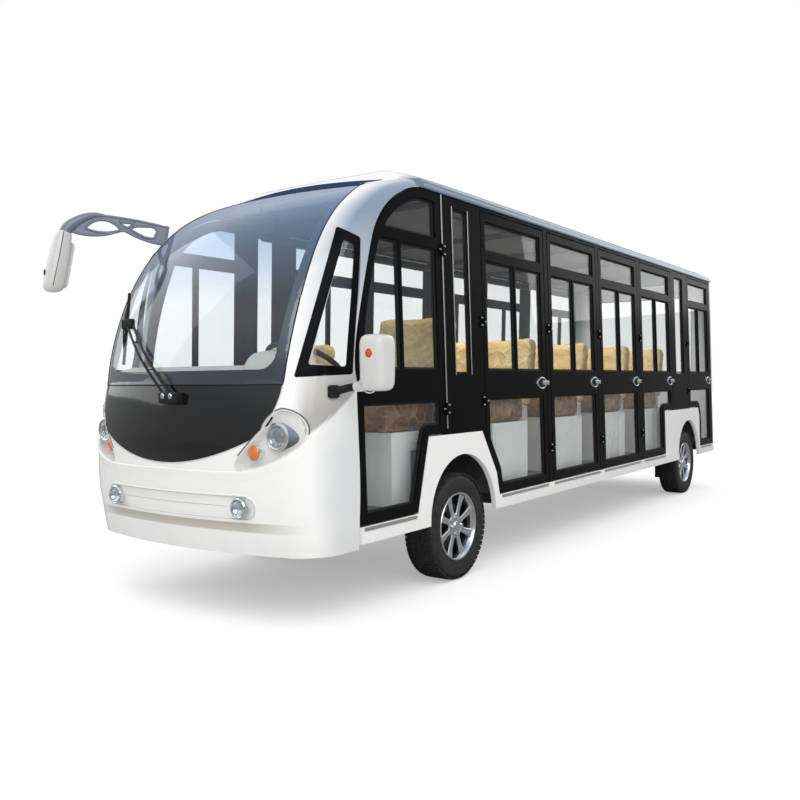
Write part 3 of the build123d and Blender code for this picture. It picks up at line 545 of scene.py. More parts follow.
class Coat:
    """One material while its nodes are added."""

    def __init__(self, name):
        self.material = bpy.data.materials.new(name)
        self.material.use_nodes = True
        self.tree = self.material.node_tree
        self.tree.nodes.clear()
        self.place = self.node("TexCoord", output="Object")

    def node(self, kind, settings=None, inputs=None, output=0):
        """Add a node, set its settings and then its sockets, and give one output."""
        node = self.tree.nodes.new("ShaderNode" + kind)
        for key, value in (settings or {}).items():
            if key == "stops":
                set_stops(node.color_ramp, value)
            else:
                setattr(node, key, value)
        for key, value in (inputs or {}).items():
            if isinstance(value, Field):
                self.tree.links.new(value.socket, node.inputs[key])
            else:
                node.inputs[key].default_value = value
        return Field(self.tree, node.outputs[output]) if node.outputs else None

    def axis(self, name):
        """Give one of the piece's own coordinates."""
        return self.node("SeparateXYZ", inputs={0: self.place}, output=name)

    def noise(self, scale, detail=3.0, stretch=None, output=0):
        """Give a noise on the piece's own coordinates."""
        place = self.place
        if stretch:
            place = self.node("Mapping", inputs={"Vector": place, "Scale": stretch})
        return self.node("TexNoise", inputs={"Vector": place, "Scale": scale, "Detail": detail},
                         output=output)

    def mix(self, factor, first, second):
        """Mix two colours."""
        values = [(*v, 1) if isinstance(v, tuple) else v for v in (first, second)]
        return self.node("Mix", {"data_type": "RGBA"}, {0: factor, 6: values[0], 7: values[1]}, 2)

    def bump(self, height, distance):
        """Give a bumped normal."""
        return self.node("Bump", inputs={"Height": height, "Distance": distance,
                                         "Strength": 1.0})

    def surface(self, colour, roughness, metallic=0.0, **inputs):
        """Give a principled surface."""
        values = {"Base Color": (*colour, 1) if isinstance(colour, tuple) else colour,
                  "Roughness": roughness, "Metallic": metallic}
        values.update({key.replace("_", " "): value for key, value in inputs.items()})
        return self.node("BsdfPrincipled", inputs=values)

    def done(self, shader):
        """Connect the shader and give the material."""
        self.node("OutputMaterial", inputs={"Surface": shader})
        return self.material


def gloss_paint(name, colour, roughness=0.16, peel=0.00004, drift=0.03):
    """Make a glossy lacquer with faint orange peel and drifting tone."""
    coat = Coat(name)
    tone = coat.noise(1.7, 4)
    dark = tuple(c * (1 - drift) for c in colour)
    light = tuple(min(1, c * (1 + drift)) for c in colour)
    shine = coat.noise(6, 5) * 0.08 + (roughness - 0.04)
    peeled = coat.bump(coat.noise(160, 2), peel)
    return coat.done(coat.surface(coat.mix(tone, dark, light), shine, Normal=peeled,
                                  Coat_Weight=0.6, Coat_Roughness=0.04))


def white_gelcoat(name):
    """Make the white body finish: dusty low down, with painted shade under the step, a painted sky
    reflection in blue-grey at the turns, and painted shade on the front's side corners and above
    its crease.
    """
    coat = Coat(name)
    colour = tuple(bpy.context.scene.cart_colours.body)
    tone = coat.mix(coat.noise(1.3, 4), tuple(c * 0.98 for c in colour), colour)
    height, middle = coat.axis("Z"), coat.axis("X").math("ABSOLUTE", coat.axis("X"))
    low = (1 - height.above(0.36, 0.07)) * (coat.noise(14, 6) * 0.45)
    shade = coat.mix(low, tone, (0.60, 0.58, 0.54))
    station = coat.axis("Y") - AXLE_Y
    ahead = 1 - station.above(-0.88, 0.01)
    # Painted shade under the step: across the front, the band between the step's edges is
    # darkened, most just under its top edge.
    under = ahead * height.above(0.410, 0.003) * (1 - height.above(0.4515, 0.001)) * (
        1 - middle.above(0.56, 0.13))
    shade = coat.mix(under * (height.above(0.42, 0.035) * 0.35 + 0.50), shade,
                     (0.40, 0.37, 0.30))
    # Painted sky reflection: high up near the sides, where the shell and roof turn towards the
    # side, the white goes dark blue-grey.
    turn = middle.above(0.605, 0.050) * height.above(1.40, 0.40)
    shade = coat.mix(turn * 0.92, shade, (0.15, 0.22, 0.32))
    # Painted shade: the front's side corners go blue-grey below the waist.
    flank = ahead * middle.above(0.722, 0.022) * (1 - height.above(1.0, 0.25))
    shade = coat.mix(flank * 0.42, shade, (0.46, 0.51, 0.53))
    # Painted shade: beside the lamps, above the swept crease, the white goes grey-brown.
    brow_painted_shade = ahead * (height - station * 0.68 - 1.606).above(0.008, 0.008) * (
        station.above(-1.20, 0.03)) * middle.above(0.64, 0.03) * (1 - height.above(1.16, 0.24))
    shade = coat.mix(brow_painted_shade * 0.72, shade, (0.25, 0.235, 0.205))
    shine = coat.noise(5, 5) * 0.08 + low * 0.3 + 0.13
    peeled = coat.bump(coat.noise(140, 2), 0.00005)
    return coat.done(coat.surface(shade, shine, Normal=peeled, Coat_Weight=0.5,
                                  Coat_Roughness=0.05))


def black_lacquer(name):
    """Make the black finish of the doors and frames."""
    coat = Coat(name)
    colour = tuple(bpy.context.scene.cart_colours.trim)
    smears = coat.noise(5, 6, (1, 1, 0.4))
    tone = coat.mix(smears, tuple(c * 0.6 for c in colour), colour)
    peeled = coat.bump(coat.noise(150, 2), 0.00006)
    return coat.done(coat.surface(tone, smears * 0.16 + 0.14, Normal=peeled,
                                  Specular_IOR_Level=0.04))


def slate_paint(name):
    """Make the lamp barrels' flank in painted shade: slate blue above as a painted sky reflection
    and dark grey below as painted shadow.
    """
    coat = Coat(name)
    # Painted light: dark grey shadow low down turns to slate blue sky reflection higher up.
    rise = coat.axis("Z").above(0.815, 0.040)
    tone = coat.mix(rise, (0.085, 0.087, 0.085), (0.22, 0.25, 0.34))
    return coat.done(coat.surface(tone, coat.noise(30, 3) * 0.06 + 0.28,
                                  Normal=coat.bump(coat.noise(160, 2), 0.00004)))


def black_panel(name):
    """Make the black panel's deep gloss."""
    return gloss_paint(name, (0.006, 0.006, 0.007), 0.10, 0.00002, 0.1)


def glazing(name, tint, veil, mirror=1.0, high=None):
    """Make thin clear glass that mirrors at a glance, with a tint that may grow with height."""
    coat = Coat(name)
    clear = coat.node("BsdfTransparent", inputs={"Color": (*tint, 1)})
    haze = veil
    if high:
        rise = coat.axis("Z").above(high[0], high[1])
        deep = coat.node("BsdfTransparent", inputs={"Color": (*high[2], 1)})
        clear = coat.node("MixShader", inputs={0: rise, 1: clear, 2: deep})
        haze = rise * high[3] + veil
    film = coat.node("BsdfDiffuse", inputs={"Color": (0.48, 0.62, 0.82, 1)})
    body = coat.node("MixShader", inputs={0: haze, 1: clear, 2: film})
    shine = coat.node("BsdfGlossy", inputs={"Color": (1, 1, 1, 1), "Roughness": 0.015})
    glance = coat.node("LayerWeight", inputs={"Blend": 0.5}, output="Facing")
    edge = glance ** 5 * (0.85 * mirror) + 0.035
    return coat.done(coat.node("MixShader", inputs={0: edge, 1: body, 2: shine}))


def side_glass(name):
    """Make the doors' and side windows' glass."""
    return glazing(name, (0.982, 0.990, 0.990), 0.006)


def front_glass(name):
    """Make the windscreen's glass, blue towards the top."""
    return glazing(name, (0.955, 0.978, 0.988), 0.015, 1.0,
                   (1.74, 0.34, (0.44, 0.61, 0.84), 0.22))


def lamp_glass(name):
    """Make the clear covers of the lamps."""
    return glazing(name, (0.97, 0.98, 0.99), 0.03, 1.4)


def plastic(name, colour, roughness=0.45, grain=900.0, depth=0.00012, shine=0.18):
    """Make moulded plastic with a fine grain."""
    coat = Coat(name)
    tone = coat.mix(coat.noise(9, 4), tuple(c * 0.88 for c in colour), colour)
    polish = coat.noise(30, 4) * 0.14 + (roughness - 0.07)
    return coat.done(coat.surface(tone, polish, Normal=coat.bump(coat.noise(grain, 2), depth),
                                  Specular_IOR_Level=shine))


def metal(name, colour, roughness, grain=(1, 1, 1), scale=60.0, scuff=0.10):
    """Make bare or plated metal with fine uneven polish."""
    coat = Coat(name)
    marks = coat.noise(scale, 5, grain)
    tone = coat.mix(marks, tuple(c * 0.9 for c in colour), colour)
    return coat.done(coat.surface(tone, marks * scuff + max(0.02, roughness - scuff / 2), 1.0,
                                  Normal=coat.bump(marks, 0.00002)))


def tyre_rubber(name):
    """Make the tyres' rubber, dusty in the grooves."""
    coat = Coat(name)
    dust = coat.noise(40, 6).above(0.55, 0.12) * 0.25
    tone = coat.mix(dust, (0.012, 0.012, 0.013), (0.06, 0.057, 0.052))
    return coat.done(coat.surface(tone, coat.noise(25, 4) * 0.15 + 0.55,
                                  Normal=coat.bump(coat.noise(500, 3), 0.00012)))


def film_wrap(name, colour, deep, crease):
    """Make upholstery inside loose clear film: folds that catch the light through their bump, with
    painted highlights on their ridges, over a soft cover.
    """
    coat = Coat(name)
    warp = coat.noise(3.0, 3, (1, 1, 1.6), output=1)
    bent = coat.node("VectorMath", {"operation": "MULTIPLY_ADD"},
                     {0: warp, 1: (0.22, 0.22, 0.22), 2: coat.place})
    folds = coat.node("TexVoronoi", {"feature": "DISTANCE_TO_EDGE"},
                      {"Vector": bent, "Scale": 7.5})
    fine = coat.node("TexVoronoi", {"feature": "DISTANCE_TO_EDGE"},
                     {"Vector": bent, "Scale": 19.0})
    ridge = (1 - folds.above(0.05, 0.05)) * 0.7 + (1 - fine.above(0.045, 0.045)) * 0.4
    slack = coat.noise(9, 5, (1.0, 1.0, 2.2))
    height = ridge + slack * 1.4
    # The cover's colour is darker where the slack sinks and lighter where it swells.
    tone = coat.mix(slack.above(0.5, 0.22), deep, colour)
    # Painted highlight: the folds' ridges are lightened in patches, towards a pale cream.
    painted_fold_highlight = ridge * coat.noise(4.0, 3, (1, 1, 1.4)).above(0.53, 0.06) * 0.75
    tone = coat.mix(painted_fold_highlight, tone, tuple(min(1, c * 1.3 + 0.12) for c in colour))
    return coat.done(coat.surface(tone, coat.noise(12, 4) * 0.16 + 0.10,
                                  Normal=coat.bump(height, crease), Coat_Weight=0.8,
                                  Coat_Roughness=0.06))


def back_film(name):
    """Make the gold film over the seat backs."""
    return film_wrap(name, tuple(bpy.context.scene.cart_colours.back), (0.70, 0.43, 0.13), 0.006)


def cushion_film(name):
    """Make the brown film over the cushions."""
    return film_wrap(name, tuple(bpy.context.scene.cart_colours.cushion), (0.08, 0.035, 0.015),
                     0.005)


def bench_gelcoat(name):
    """Make the pale moulded benches' finish."""
    return gloss_paint(name, (0.74, 0.76, 0.75), 0.28, 0.00006, 0.04)


def ribbed_mat(name):
    """Make the floor's ribbed rubber mat."""
    coat = Coat(name)
    ribs = coat.node("TexWave", {"wave_type": "BANDS", "bands_direction": "X"},
                     {"Vector": coat.place, "Scale": 22.0, "Distortion": 0.0})
    tone = coat.mix(coat.noise(8, 5), (0.05, 0.052, 0.055), (0.10, 0.10, 0.10))
    return coat.done(coat.surface(tone, coat.noise(20, 4) * 0.2 + 0.5,
                                  Normal=coat.bump(ribs, 0.0012)))


def ceiling_lining(name):
    """Make the dark padded ceiling."""
    coat = Coat(name)
    tone = coat.mix(coat.noise(3, 4), (0.060, 0.066, 0.078), (0.085, 0.092, 0.108))
    return coat.done(coat.surface(tone, 0.8, Normal=coat.bump(coat.noise(60, 3), 0.0002)))


def glowing_lens(name, colour, deep):
    """Make a coloured lens with moulded prisms."""
    coat = Coat(name)
    cells = coat.node("TexVoronoi", {}, {"Vector": coat.place, "Scale": 260.0})
    tone = coat.mix(cells, colour, deep)
    return coat.done(coat.surface(tone, coat.noise(40, 2) * 0.05 + 0.08,
                                  Normal=coat.bump(cells, 0.0006), Coat_Weight=1.0,
                                  Subsurface_Weight=0.15))


FINISHES = {
    "white_gelcoat": white_gelcoat,
    "black_lacquer": black_lacquer,
    "black_gloss_panel": black_panel,
    "side_glass": side_glass,
    "front_glass": front_glass,
    "lamp_cover": lamp_glass,
    # Painted shade: a pale grey lining stands for the shade in the white lamp recesses.
    "silver_paint": lambda name: gloss_paint(name, (0.77, 0.77, 0.755), 0.25, 0.00004, 0.04),
    # Painted shadow: a dark strip stands for the shadow along the rims of the lamp recesses.
    "groove_shade": lambda name: plastic(name, (0.13, 0.12, 0.105), 0.6),
    # Painted shadow: grey hairlines stand for the shade round the fog lamps' recess and along its
    # middle fold.
    "recess_shade": lambda name: plastic(name, (0.52, 0.51, 0.47), 0.5),
    "ring_silver": lambda name: metal(name, (0.90, 0.90, 0.89), 0.24, scale=30, scuff=0.06),
    "slate_paint": slate_paint,
    "grey_frit": lambda name: gloss_paint(name, (0.008, 0.012, 0.026), 0.30, 0.00001, 0.05),
    "rubber_seal": lambda name: plastic(name, (0.012, 0.012, 0.013), 0.62),
    "black_plastic": lambda name: plastic(name, (0.016, 0.016, 0.017), 0.42, 700, 0.00015),
    "cream_plastic": lambda name: plastic(name, (0.74, 0.72, 0.65), 0.40, 500, 0.0001),
    "mirror_shell": lambda name: gloss_paint(name, (0.64, 0.64, 0.62), 0.30, 0.00004, 0.03),
    "visor_blue": lambda name: plastic(name, (0.020, 0.044, 0.125), 0.75, 60, 0.00001, 0.02),
    "arm_slate": lambda name: gloss_paint(name, (0.16, 0.18, 0.24), 0.35, 0.00003, 0.06),
    "chrome": lambda name: metal(name, (0.86, 0.87, 0.88), 0.07, scale=30, scuff=0.06),
    "mirror_glass": lambda name: metal(name, (0.80, 0.84, 0.88), 0.03, scale=8, scuff=0.02),
    "aluminium": lambda name: metal(name, (0.60, 0.59, 0.56), 0.36, (1, 0.05, 1), 160, 0.2),
    "alloy": lambda name: metal(name, (0.74, 0.75, 0.77), 0.24, scale=90, scuff=0.14),
    "dark_alloy": lambda name: metal(name, (0.10, 0.10, 0.11), 0.42, scale=60, scuff=0.2),
    "chassis_paint": lambda name: plastic(name, (0.018, 0.018, 0.019), 0.45, 120, 0.0003),
    "cast_iron": lambda name: plastic(name, (0.045, 0.043, 0.042), 0.6, 260, 0.0006),
    "motor_casting": lambda name: metal(name, (0.45, 0.46, 0.47), 0.5, scale=200, scuff=0.2),
    "battery_case": lambda name: plastic(name, (0.05, 0.055, 0.06), 0.5, 300, 0.0002),
    "tyre_rubber": tyre_rubber,
    "back_film": back_film,
    "cushion_film": cushion_film,
    "bench_gelcoat": bench_gelcoat,
    "ribbed_mat": ribbed_mat,
    "ceiling_lining": ceiling_lining,
    "amber_lens": lambda name: glowing_lens(name, (0.95, 0.30, 0.02), (0.70, 0.14, 0.01)),
    "orange_lens": lambda name: glowing_lens(name, (0.90, 0.10, 0.01), (0.60, 0.04, 0.01)),
    "red_lens": lambda name: glowing_lens(name, (0.55, 0.008, 0.008), (0.25, 0.0, 0.0)),
    "white_lens": lambda name: glowing_lens(name, (0.75, 0.78, 0.78), (0.5, 0.53, 0.53)),
}


def finish(name):
    """Give a finish, made the first time that it is asked for."""
    made = bpy.data.materials.get("coat_" + name)
    return made or FINISHES[name]("coat_" + name)


def puffed(part, voxel, cap):
    """Swell a block into a stuffed pad in loose film, under cloth pressure."""
    work = mesh_of(part)
    bevel_sharp(work, 0.034, 3)
    mesh = bpy.data.meshes.new("pad")
    work.to_mesh(mesh)
    work.free()
    item = bpy.data.objects.new("pad", mesh)
    scene = bpy.context.scene
    scene.collection.objects.link(item)
    remesh = item.modifiers.new("Remesh", "REMESH")
    remesh.mode = "VOXEL"
    remesh.voxel_size = voxel
    rest = evaluated_mesh(item)
    item.modifiers.clear()
    item.data = rest
    start = [v.co.copy() for v in rest.vertices]
    cloth = item.modifiers.new("Cloth", "CLOTH")
    cloth.settings.use_pressure = True
    cloth.settings.uniform_pressure_force = 4.0
    cloth.settings.effector_weights.gravity = 0.0
    cloth.settings.quality = 4
    for step in range(1, 21):
        scene.frame_set(step)
    rest = evaluated_mesh(item)
    item.modifiers.clear()
    scene.frame_set(1)
    places = []
    floor = min(p.z for p in start)
    for old, vert in zip(start, rest.vertices):
        move = vert.co - old
        if move.length > cap:
            move *= cap / move.length
        if old.z < floor + 0.03:
            move.z = max(move.z, floor - old.z)
        places.append(old + move)
    for vert, place in zip(rest.vertices, places):
        vert.co = place
    item.data = rest
    smooth = item.modifiers.new("Subdivision", "SUBSURF")
    smooth.levels = smooth.render_levels = 1
    final = evaluated_mesh(item)
    bpy.data.objects.remove(item)
    normals = [v.normal.copy() for v in final.vertices]
    points = []
    for vert, normal in zip(final.vertices, normals):
        here = vert.co
        fold = noise.noise(Vector((here.x * 6.0, here.y * 9.0, here.z * 13.0)))
        crease = 1 - abs(noise.noise(Vector((here.x * 14.0, here.y * 17.0, here.z * 24.0)) * 0.8))
        points.append(here + normal * (0.004 * fold + 0.005 * (crease ** 6 - 0.5)))
    return points, [list(p.vertices) for p in final.polygons]


def evaluated_mesh(item):
    """Give an object's mesh with its modifiers worked out."""
    return bpy.data.meshes.new_from_object(
        item.evaluated_get(bpy.context.evaluated_depsgraph_get()))


# Geometry node trees
class Grower:
    """A geometry node tree with named inputs, run once for a plain mesh."""

    def __init__(self, name, inputs):
        self.tree = bpy.data.node_groups.new(name, "GeometryNodeTree")
        for label, kind in inputs:
            self.tree.interface.new_socket(label, in_out="INPUT", socket_type=kind)
        self.tree.interface.new_socket("Geometry", in_out="OUTPUT",
                                       socket_type="NodeSocketGeometry")
        self.given = self.tree.nodes.new("NodeGroupInput")

    def node(self, kind, inputs=None, settings=None):
        """Add a node with its settings and the values or links of its sockets."""
        node = self.tree.nodes.new(kind)
        for key, value in (settings or {}).items():
            setattr(node, key, value)
        for key, value in (inputs or {}).items():
            if isinstance(value, bpy.types.NodeSocket):
                self.tree.links.new(value, node.inputs[key])
            else:
                node.inputs[key].default_value = value
        return node

    def finished(self, instances):
        """End the tree with real geometry in the chosen material."""
        real = self.node("GeometryNodeRealizeInstances", {0: instances})
        coated = self.node("GeometryNodeSetMaterial",
                           {0: real.outputs[0], "Material": self.given.outputs["Material"]})
        self.node("NodeGroupOutput", {0: coated.outputs[0]})

    def grow(self, **values):
        """Run the tree on its inputs and give its points and faces."""
        host = bpy.data.objects.new("growing", bpy.data.meshes.new("growing"))
        bpy.context.scene.collection.objects.link(host)
        modifier = host.modifiers.new("Grow", "NODES")
        modifier.node_group = self.tree
        for item in self.tree.interface.items_tree:
            if item.in_out == "INPUT":
                modifier[item.identifier] = values[item.name.replace(" ", "_").lower()]
        evaluated = host.evaluated_get(bpy.context.evaluated_depsgraph_get())
        mesh = bpy.data.meshes.new_from_object(evaluated)
        part = ([v.co.copy() for v in mesh.vertices], [list(p.vertices) for p in mesh.polygons])
        bpy.data.objects.remove(host)
        bpy.data.meshes.remove(mesh)
        return part


def ring_grower():
    """Build the tree that sets copies of a piece in a ring about Z, each turned outwards."""
    grower = Grower("Ring of copies", (("Count", "NodeSocketInt"), ("Phase", "NodeSocketFloat"),
                                       ("Copy", "NodeSocketObject"),
                                       ("Material", "NodeSocketMaterial")))
    given = grower.given.outputs
    points = grower.node("GeometryNodePoints", {"Count": given["Count"]})
    index = grower.node("GeometryNodeInputIndex")
    step = grower.node("ShaderNodeMath", {0: TAU, 1: given["Count"]}, {"operation": "DIVIDE"})
    turn = grower.node("ShaderNodeMath", {0: index.outputs[0], 1: step.outputs[0],
                                          2: given["Phase"]}, {"operation": "MULTIPLY_ADD"})
    spun = grower.node("ShaderNodeCombineXYZ", {"Z": turn.outputs[0]})
    info = grower.node("GeometryNodeObjectInfo", {"Object": given["Copy"]})
    copies = grower.node("GeometryNodeInstanceOnPoints",
                         {"Points": points.outputs[0], "Instance": info.outputs["Geometry"],
                          "Rotation": spun.outputs[0]})
    grower.finished(copies.outputs[0])
    return grower


def row_grower():
    """Build the tree that sets copies of a piece in an even row."""
    grower = Grower("Row of copies", (("Count", "NodeSocketInt"), ("Start", "NodeSocketVector"),
                                      ("Step", "NodeSocketVector"), ("Copy", "NodeSocketObject"),
                                      ("Material", "NodeSocketMaterial")))
    given = grower.given.outputs
    row = grower.node("GeometryNodeMeshLine", {"Count": given["Count"],
                                               "Start Location": given["Start"],
                                               "Offset": given["Step"]})
    info = grower.node("GeometryNodeObjectInfo", {"Object": given["Copy"]})
    copies = grower.node("GeometryNodeInstanceOnPoints",
                         {"Points": row.outputs[0], "Instance": info.outputs["Geometry"]})
    grower.finished(copies.outputs[0])
    return grower


def copies(grower, part, coat, **values):
    """Grow copies of a part and give them as one part."""
    mesh = bpy.data.meshes.new("copy")
    mesh.from_pydata([Vector(p) for p in part[0]], [], part[1])
    source = bpy.data.objects.new("copy", mesh)
    bpy.context.scene.collection.objects.link(source)
    grown = grower.grow(copy=source, material=finish(coat), **values)
    bpy.data.objects.remove(source)
    bpy.data.meshes.remove(mesh)
    return grown


# What a user may change
class CartColours(bpy.types.PropertyGroup):
    """The main colours of the cart."""

    body: bpy.props.FloatVectorProperty(
        name="Body", description="White of the body shell and roof", subtype="COLOR",
        default=(0.92, 0.917, 0.903), min=0, max=1)
    trim: bpy.props.FloatVectorProperty(
        name="Trim", description="Black of the doors and frames", subtype="COLOR",
        default=(0.006, 0.006, 0.007), min=0, max=1)
    back: bpy.props.FloatVectorProperty(
        name="Backs", description="Gold of the seat backs", subtype="COLOR",
        default=(0.95, 0.69, 0.29), min=0, max=1)
    cushion: bpy.props.FloatVectorProperty(
        name="Cushions", description="Brown of the seat cushions", subtype="COLOR",
        default=(0.34, 0.15, 0.05), min=0, max=1)


class CartSizes(bpy.types.PropertyGroup):
    """The small sizes of the cart's trim."""

    seal: bpy.props.FloatProperty(
        name="Seal width", description="Width of the rubber seal round a pane", unit="LENGTH",
        default=0.011, min=0.004, max=0.03)
    tread: bpy.props.FloatProperty(
        name="Tread depth", description="Depth of the tyres' grooves", unit="LENGTH",
        default=0.007, min=0.001, max=0.012)
    pitches: bpy.props.IntProperty(
        name="Tread pitches", description="Tread blocks round a tyre", default=58, min=20, max=90)
    spokes: bpy.props.IntProperty(
        name="Spokes", description="Spokes of a wheel", default=8, min=4, max=12)
    nuts: bpy.props.IntProperty(
        name="Wheel nuts", description="Nuts of a wheel", default=4, min=3, max=8)
    edge: bpy.props.FloatProperty(
        name="Edge rounding", description="Radius of the frames' edges", unit="LENGTH",
        default=0.0025, min=0.0005, max=0.006)


class CART_OT_stage(bpy.types.Operator):
    """Set the pale floor, the studio light and the camera"""

    bl_idname = "cart.stage"
    bl_label = "Stage"

    def execute(self, context):
        scene = context.scene
        scene.view_settings.view_transform = "Standard"
        self.world(scene)
        self.floor(scene)
        lamps = (
            ("key", (5.5, -6.5, 6.0), 7.0, 300.0), ("fill", (-6.0, -4.0, 4.5), 6.0, 110.0),
            ("rear", (2.0, 8.0, 5.0), 6.0, 120.0), ("cabin", (0.0, 0.3, 1.90), 1.1, 42.0),
        )
        for name, place, size, power in lamps:
            data = bpy.data.lights.new(name, "AREA")
            data.size = size
            data.energy = power
            item = bpy.data.objects.new(name, data)
            item.location = place
            item.rotation_euler = (Vector((0, 0, 1)) - Vector(place)).to_track_quat(
                "-Z", "Y").to_euler()
            if name == "cabin":
                data.shape = "RECTANGLE"
                data.size_y = 4.2
                item.rotation_euler = (0, 0, 0)
                item.visible_camera = item.visible_glossy = False
            scene.collection.objects.link(item)
        self.camera(scene)
        return {"FINISHED"}

    def world(self, scene):
        """Light the scene evenly and show white to the camera and in reflections."""
        world = bpy.data.worlds.new("studio")
        world.use_nodes = True
        tree = world.node_tree
        tree.nodes.clear()
        path = tree.nodes.new("ShaderNodeLightPath")
        seen = Field(tree, path.outputs["Is Camera Ray"])
        mirrored = Field(tree, path.outputs["Is Glossy Ray"])
        split = tree.nodes.new("ShaderNodeSeparateXYZ")
        tree.links.new(tree.nodes.new("ShaderNodeTexCoord").outputs["Generated"],
                       split.inputs[0])
        height = Field(tree, split.outputs["Z"])
        sky = tree.nodes.new("ShaderNodeValToRGB")
        tree.links.new(height.socket, sky.inputs["Fac"])
        stops = ((0.0, (0.30, 0.30, 0.29)), (0.22, (0.36, 0.38, 0.39)),
                 (0.42, (0.62, 0.68, 0.74)), (0.60, (0.95, 0.98, 1.0)), (1.0, (0.55, 0.74, 1.0)))
        set_stops(sky.color_ramp, stops)
        tint = tree.nodes.new("ShaderNodeMix")
        tint.data_type = "RGBA"
        tint.inputs[6].default_value = (1, 1, 1, 1)
        tree.links.new(mirrored.socket, tint.inputs[0])
        tree.links.new(sky.outputs[0], tint.inputs[7])
        strength = seen.math("MAXIMUM", seen, mirrored) * 0.28 + 0.72
        light = tree.nodes.new("ShaderNodeBackground")
        tree.links.new(tint.outputs[2], light.inputs["Color"])
        tree.links.new(strength.socket, light.inputs["Strength"])
        out = tree.nodes.new("ShaderNodeOutputWorld")
        tree.links.new(light.outputs[0], out.inputs["Surface"])
        scene.world = world

    def floor(self, scene):
        """Lay a pale floor that keeps the soft shadow."""
        mesh = bpy.data.meshes.new("floor")
        mesh.from_pydata([(x, y, 0) for x, y in circle(60, 64)], [], [list(range(64))])
        coat = Coat("stage_floor")
        seen = coat.node("LightPath", output="Is Camera Ray")
        mirrored = coat.node("LightPath", output="Is Glossy Ray")
        away = coat.node("VectorMath", {"operation": "LENGTH"}, {0: coat.place}, "Value")
        base = coat.node("BsdfDiffuse", inputs={
            "Color": coat.mix(mirrored, (0.86, 0.86, 0.87), (0.34, 0.34, 0.33))})
        glow = coat.node("Emission", inputs={
            "Color": (1, 1, 1, 1), "Strength": seen * (away.above(9.0, 4.0) * 0.6 + 0.36)})
        mesh.materials.append(coat.done(coat.node("AddShader", inputs={0: base, 1: glow})))
        item = bpy.data.objects.new("floor", mesh)
        scene.collection.objects.link(item)

    def camera(self, scene):
        """Stand the camera ahead and to the left, at about a child's eye height."""
        yaw, pitch, roll = 0.61233, -0.02334, -0.00791
        spot = (2.9784, AXLE_Y - 3.7643, 1.0452)
        data = bpy.data.cameras.new("camera")
        data.sensor_width = 36.0
        data.lens = 37.85
        forward = Vector((-math.sin(yaw) * math.cos(pitch), math.cos(yaw) * math.cos(pitch),
                          math.sin(pitch)))
        right = Vector((math.cos(yaw), math.sin(yaw), 0))
        up = right.cross(forward)
        across = right * math.cos(roll) + up * math.sin(roll)
        over = up * math.cos(roll) - right * math.sin(roll)
        item = bpy.data.objects.new("camera", data)
        item.matrix_world = Matrix.Translation(spot) @ Matrix(
            (across, over, -forward)).transposed().to_4x4()
        scene.collection.objects.link(item)
        scene.camera = item


class CART_OT_frames(bpy.types.Operator):
    """Finish the CAD nodes that keep their own shape"""

    bl_idname = "cart.frames"
    bl_label = "Frames"

    def execute(self, context):
        coats = {
            "chassis_frame": "chassis_paint", "front_axle": "cast_iron", "rear_axle": "cast_iron",
            "knuckle_left": "cast_iron", "knuckle_right": "cast_iron",
            "battery_pack": "battery_case", "drive_motor": "motor_casting",
            "floor_deck": "ribbed_mat",
        }
        for node, coat in coats.items():
            slots = frame["nodes"][node].data.materials
            slots.clear()
            slots.append(finish(coat))
        return {"FINISHED"}


class CART_OT_body(bpy.types.Operator):
    """Make the white body: front shell, roof, skirts and rear wall"""

    bl_idname = "cart.body"
    bl_label = "Body"

    def execute(self, context):
        edge = context.scene.cart_sizes.edge
        self.roof()
        for node in ("front_shell", "side_skirt_left", "side_skirt_right", "rear_wall"):
            copied(node, edge).piece(node + "_body", "white_gelcoat", "root", "white_gelcoat",
                                     node)
        for node, coat in (("windscreen", "front_glass"), ("front_panel", "black_gloss_panel")):
            slot = "clear_glass" if node == "windscreen" else "black_gloss"
            Shape(*solids_of(node)).piece(node + "_body", coat, "root", slot, node)
        return {"FINISHED"}

    def roof(self):
        """Make the roof: a low rounded nose, then one even camber to the rear."""
        rear = WHEELBASE + 0.816
        runs = ((-0.3295, 2.048, 2.070), (-0.3220, 2.072, 2.088), (-0.3000, 2.098, 2.106),
                (-0.2620, 2.120, 2.123), (-0.2000, 2.129, 2.135), (-0.1000, 2.136, 2.143),
                (0.0500, 2.140, 2.149), (0.3000, 2.144, 2.154), (rear - 0.050, 2.144, 2.154),
                (rear - 0.008, 2.141, 2.151), (rear, 2.134, 2.144))
        rows = []
        for station, shoulder, crown in runs:
            half = arc((0.0, crown), (0.2125, crown - (crown - shoulder) * 0.25),
                       (0.425, shoulder), 8)
            half += arc((0.425, shoulder), (0.5645, (2.024 + shoulder) / 2 + 0.010),
                        (0.6985, 2.0275), 12)
            half += arc((0.6985, 2.0275), (0.7025, 2.0245), (0.704, 2.0195), 4)
            half += [(0.704, 2.0195), (0.704, 1.9925), (0.7015, 1.9905), (0.600, 1.9905),
                     (0.0, 1.9905)]
            rows.append([(x, AXLE_Y + station, z) for x, z in mirrored_half(half)])
        Shape(solid(rows)).piece("roof_shell_body", "white_gelcoat", "root", "white_gelcoat",
                                 "roof_shell")


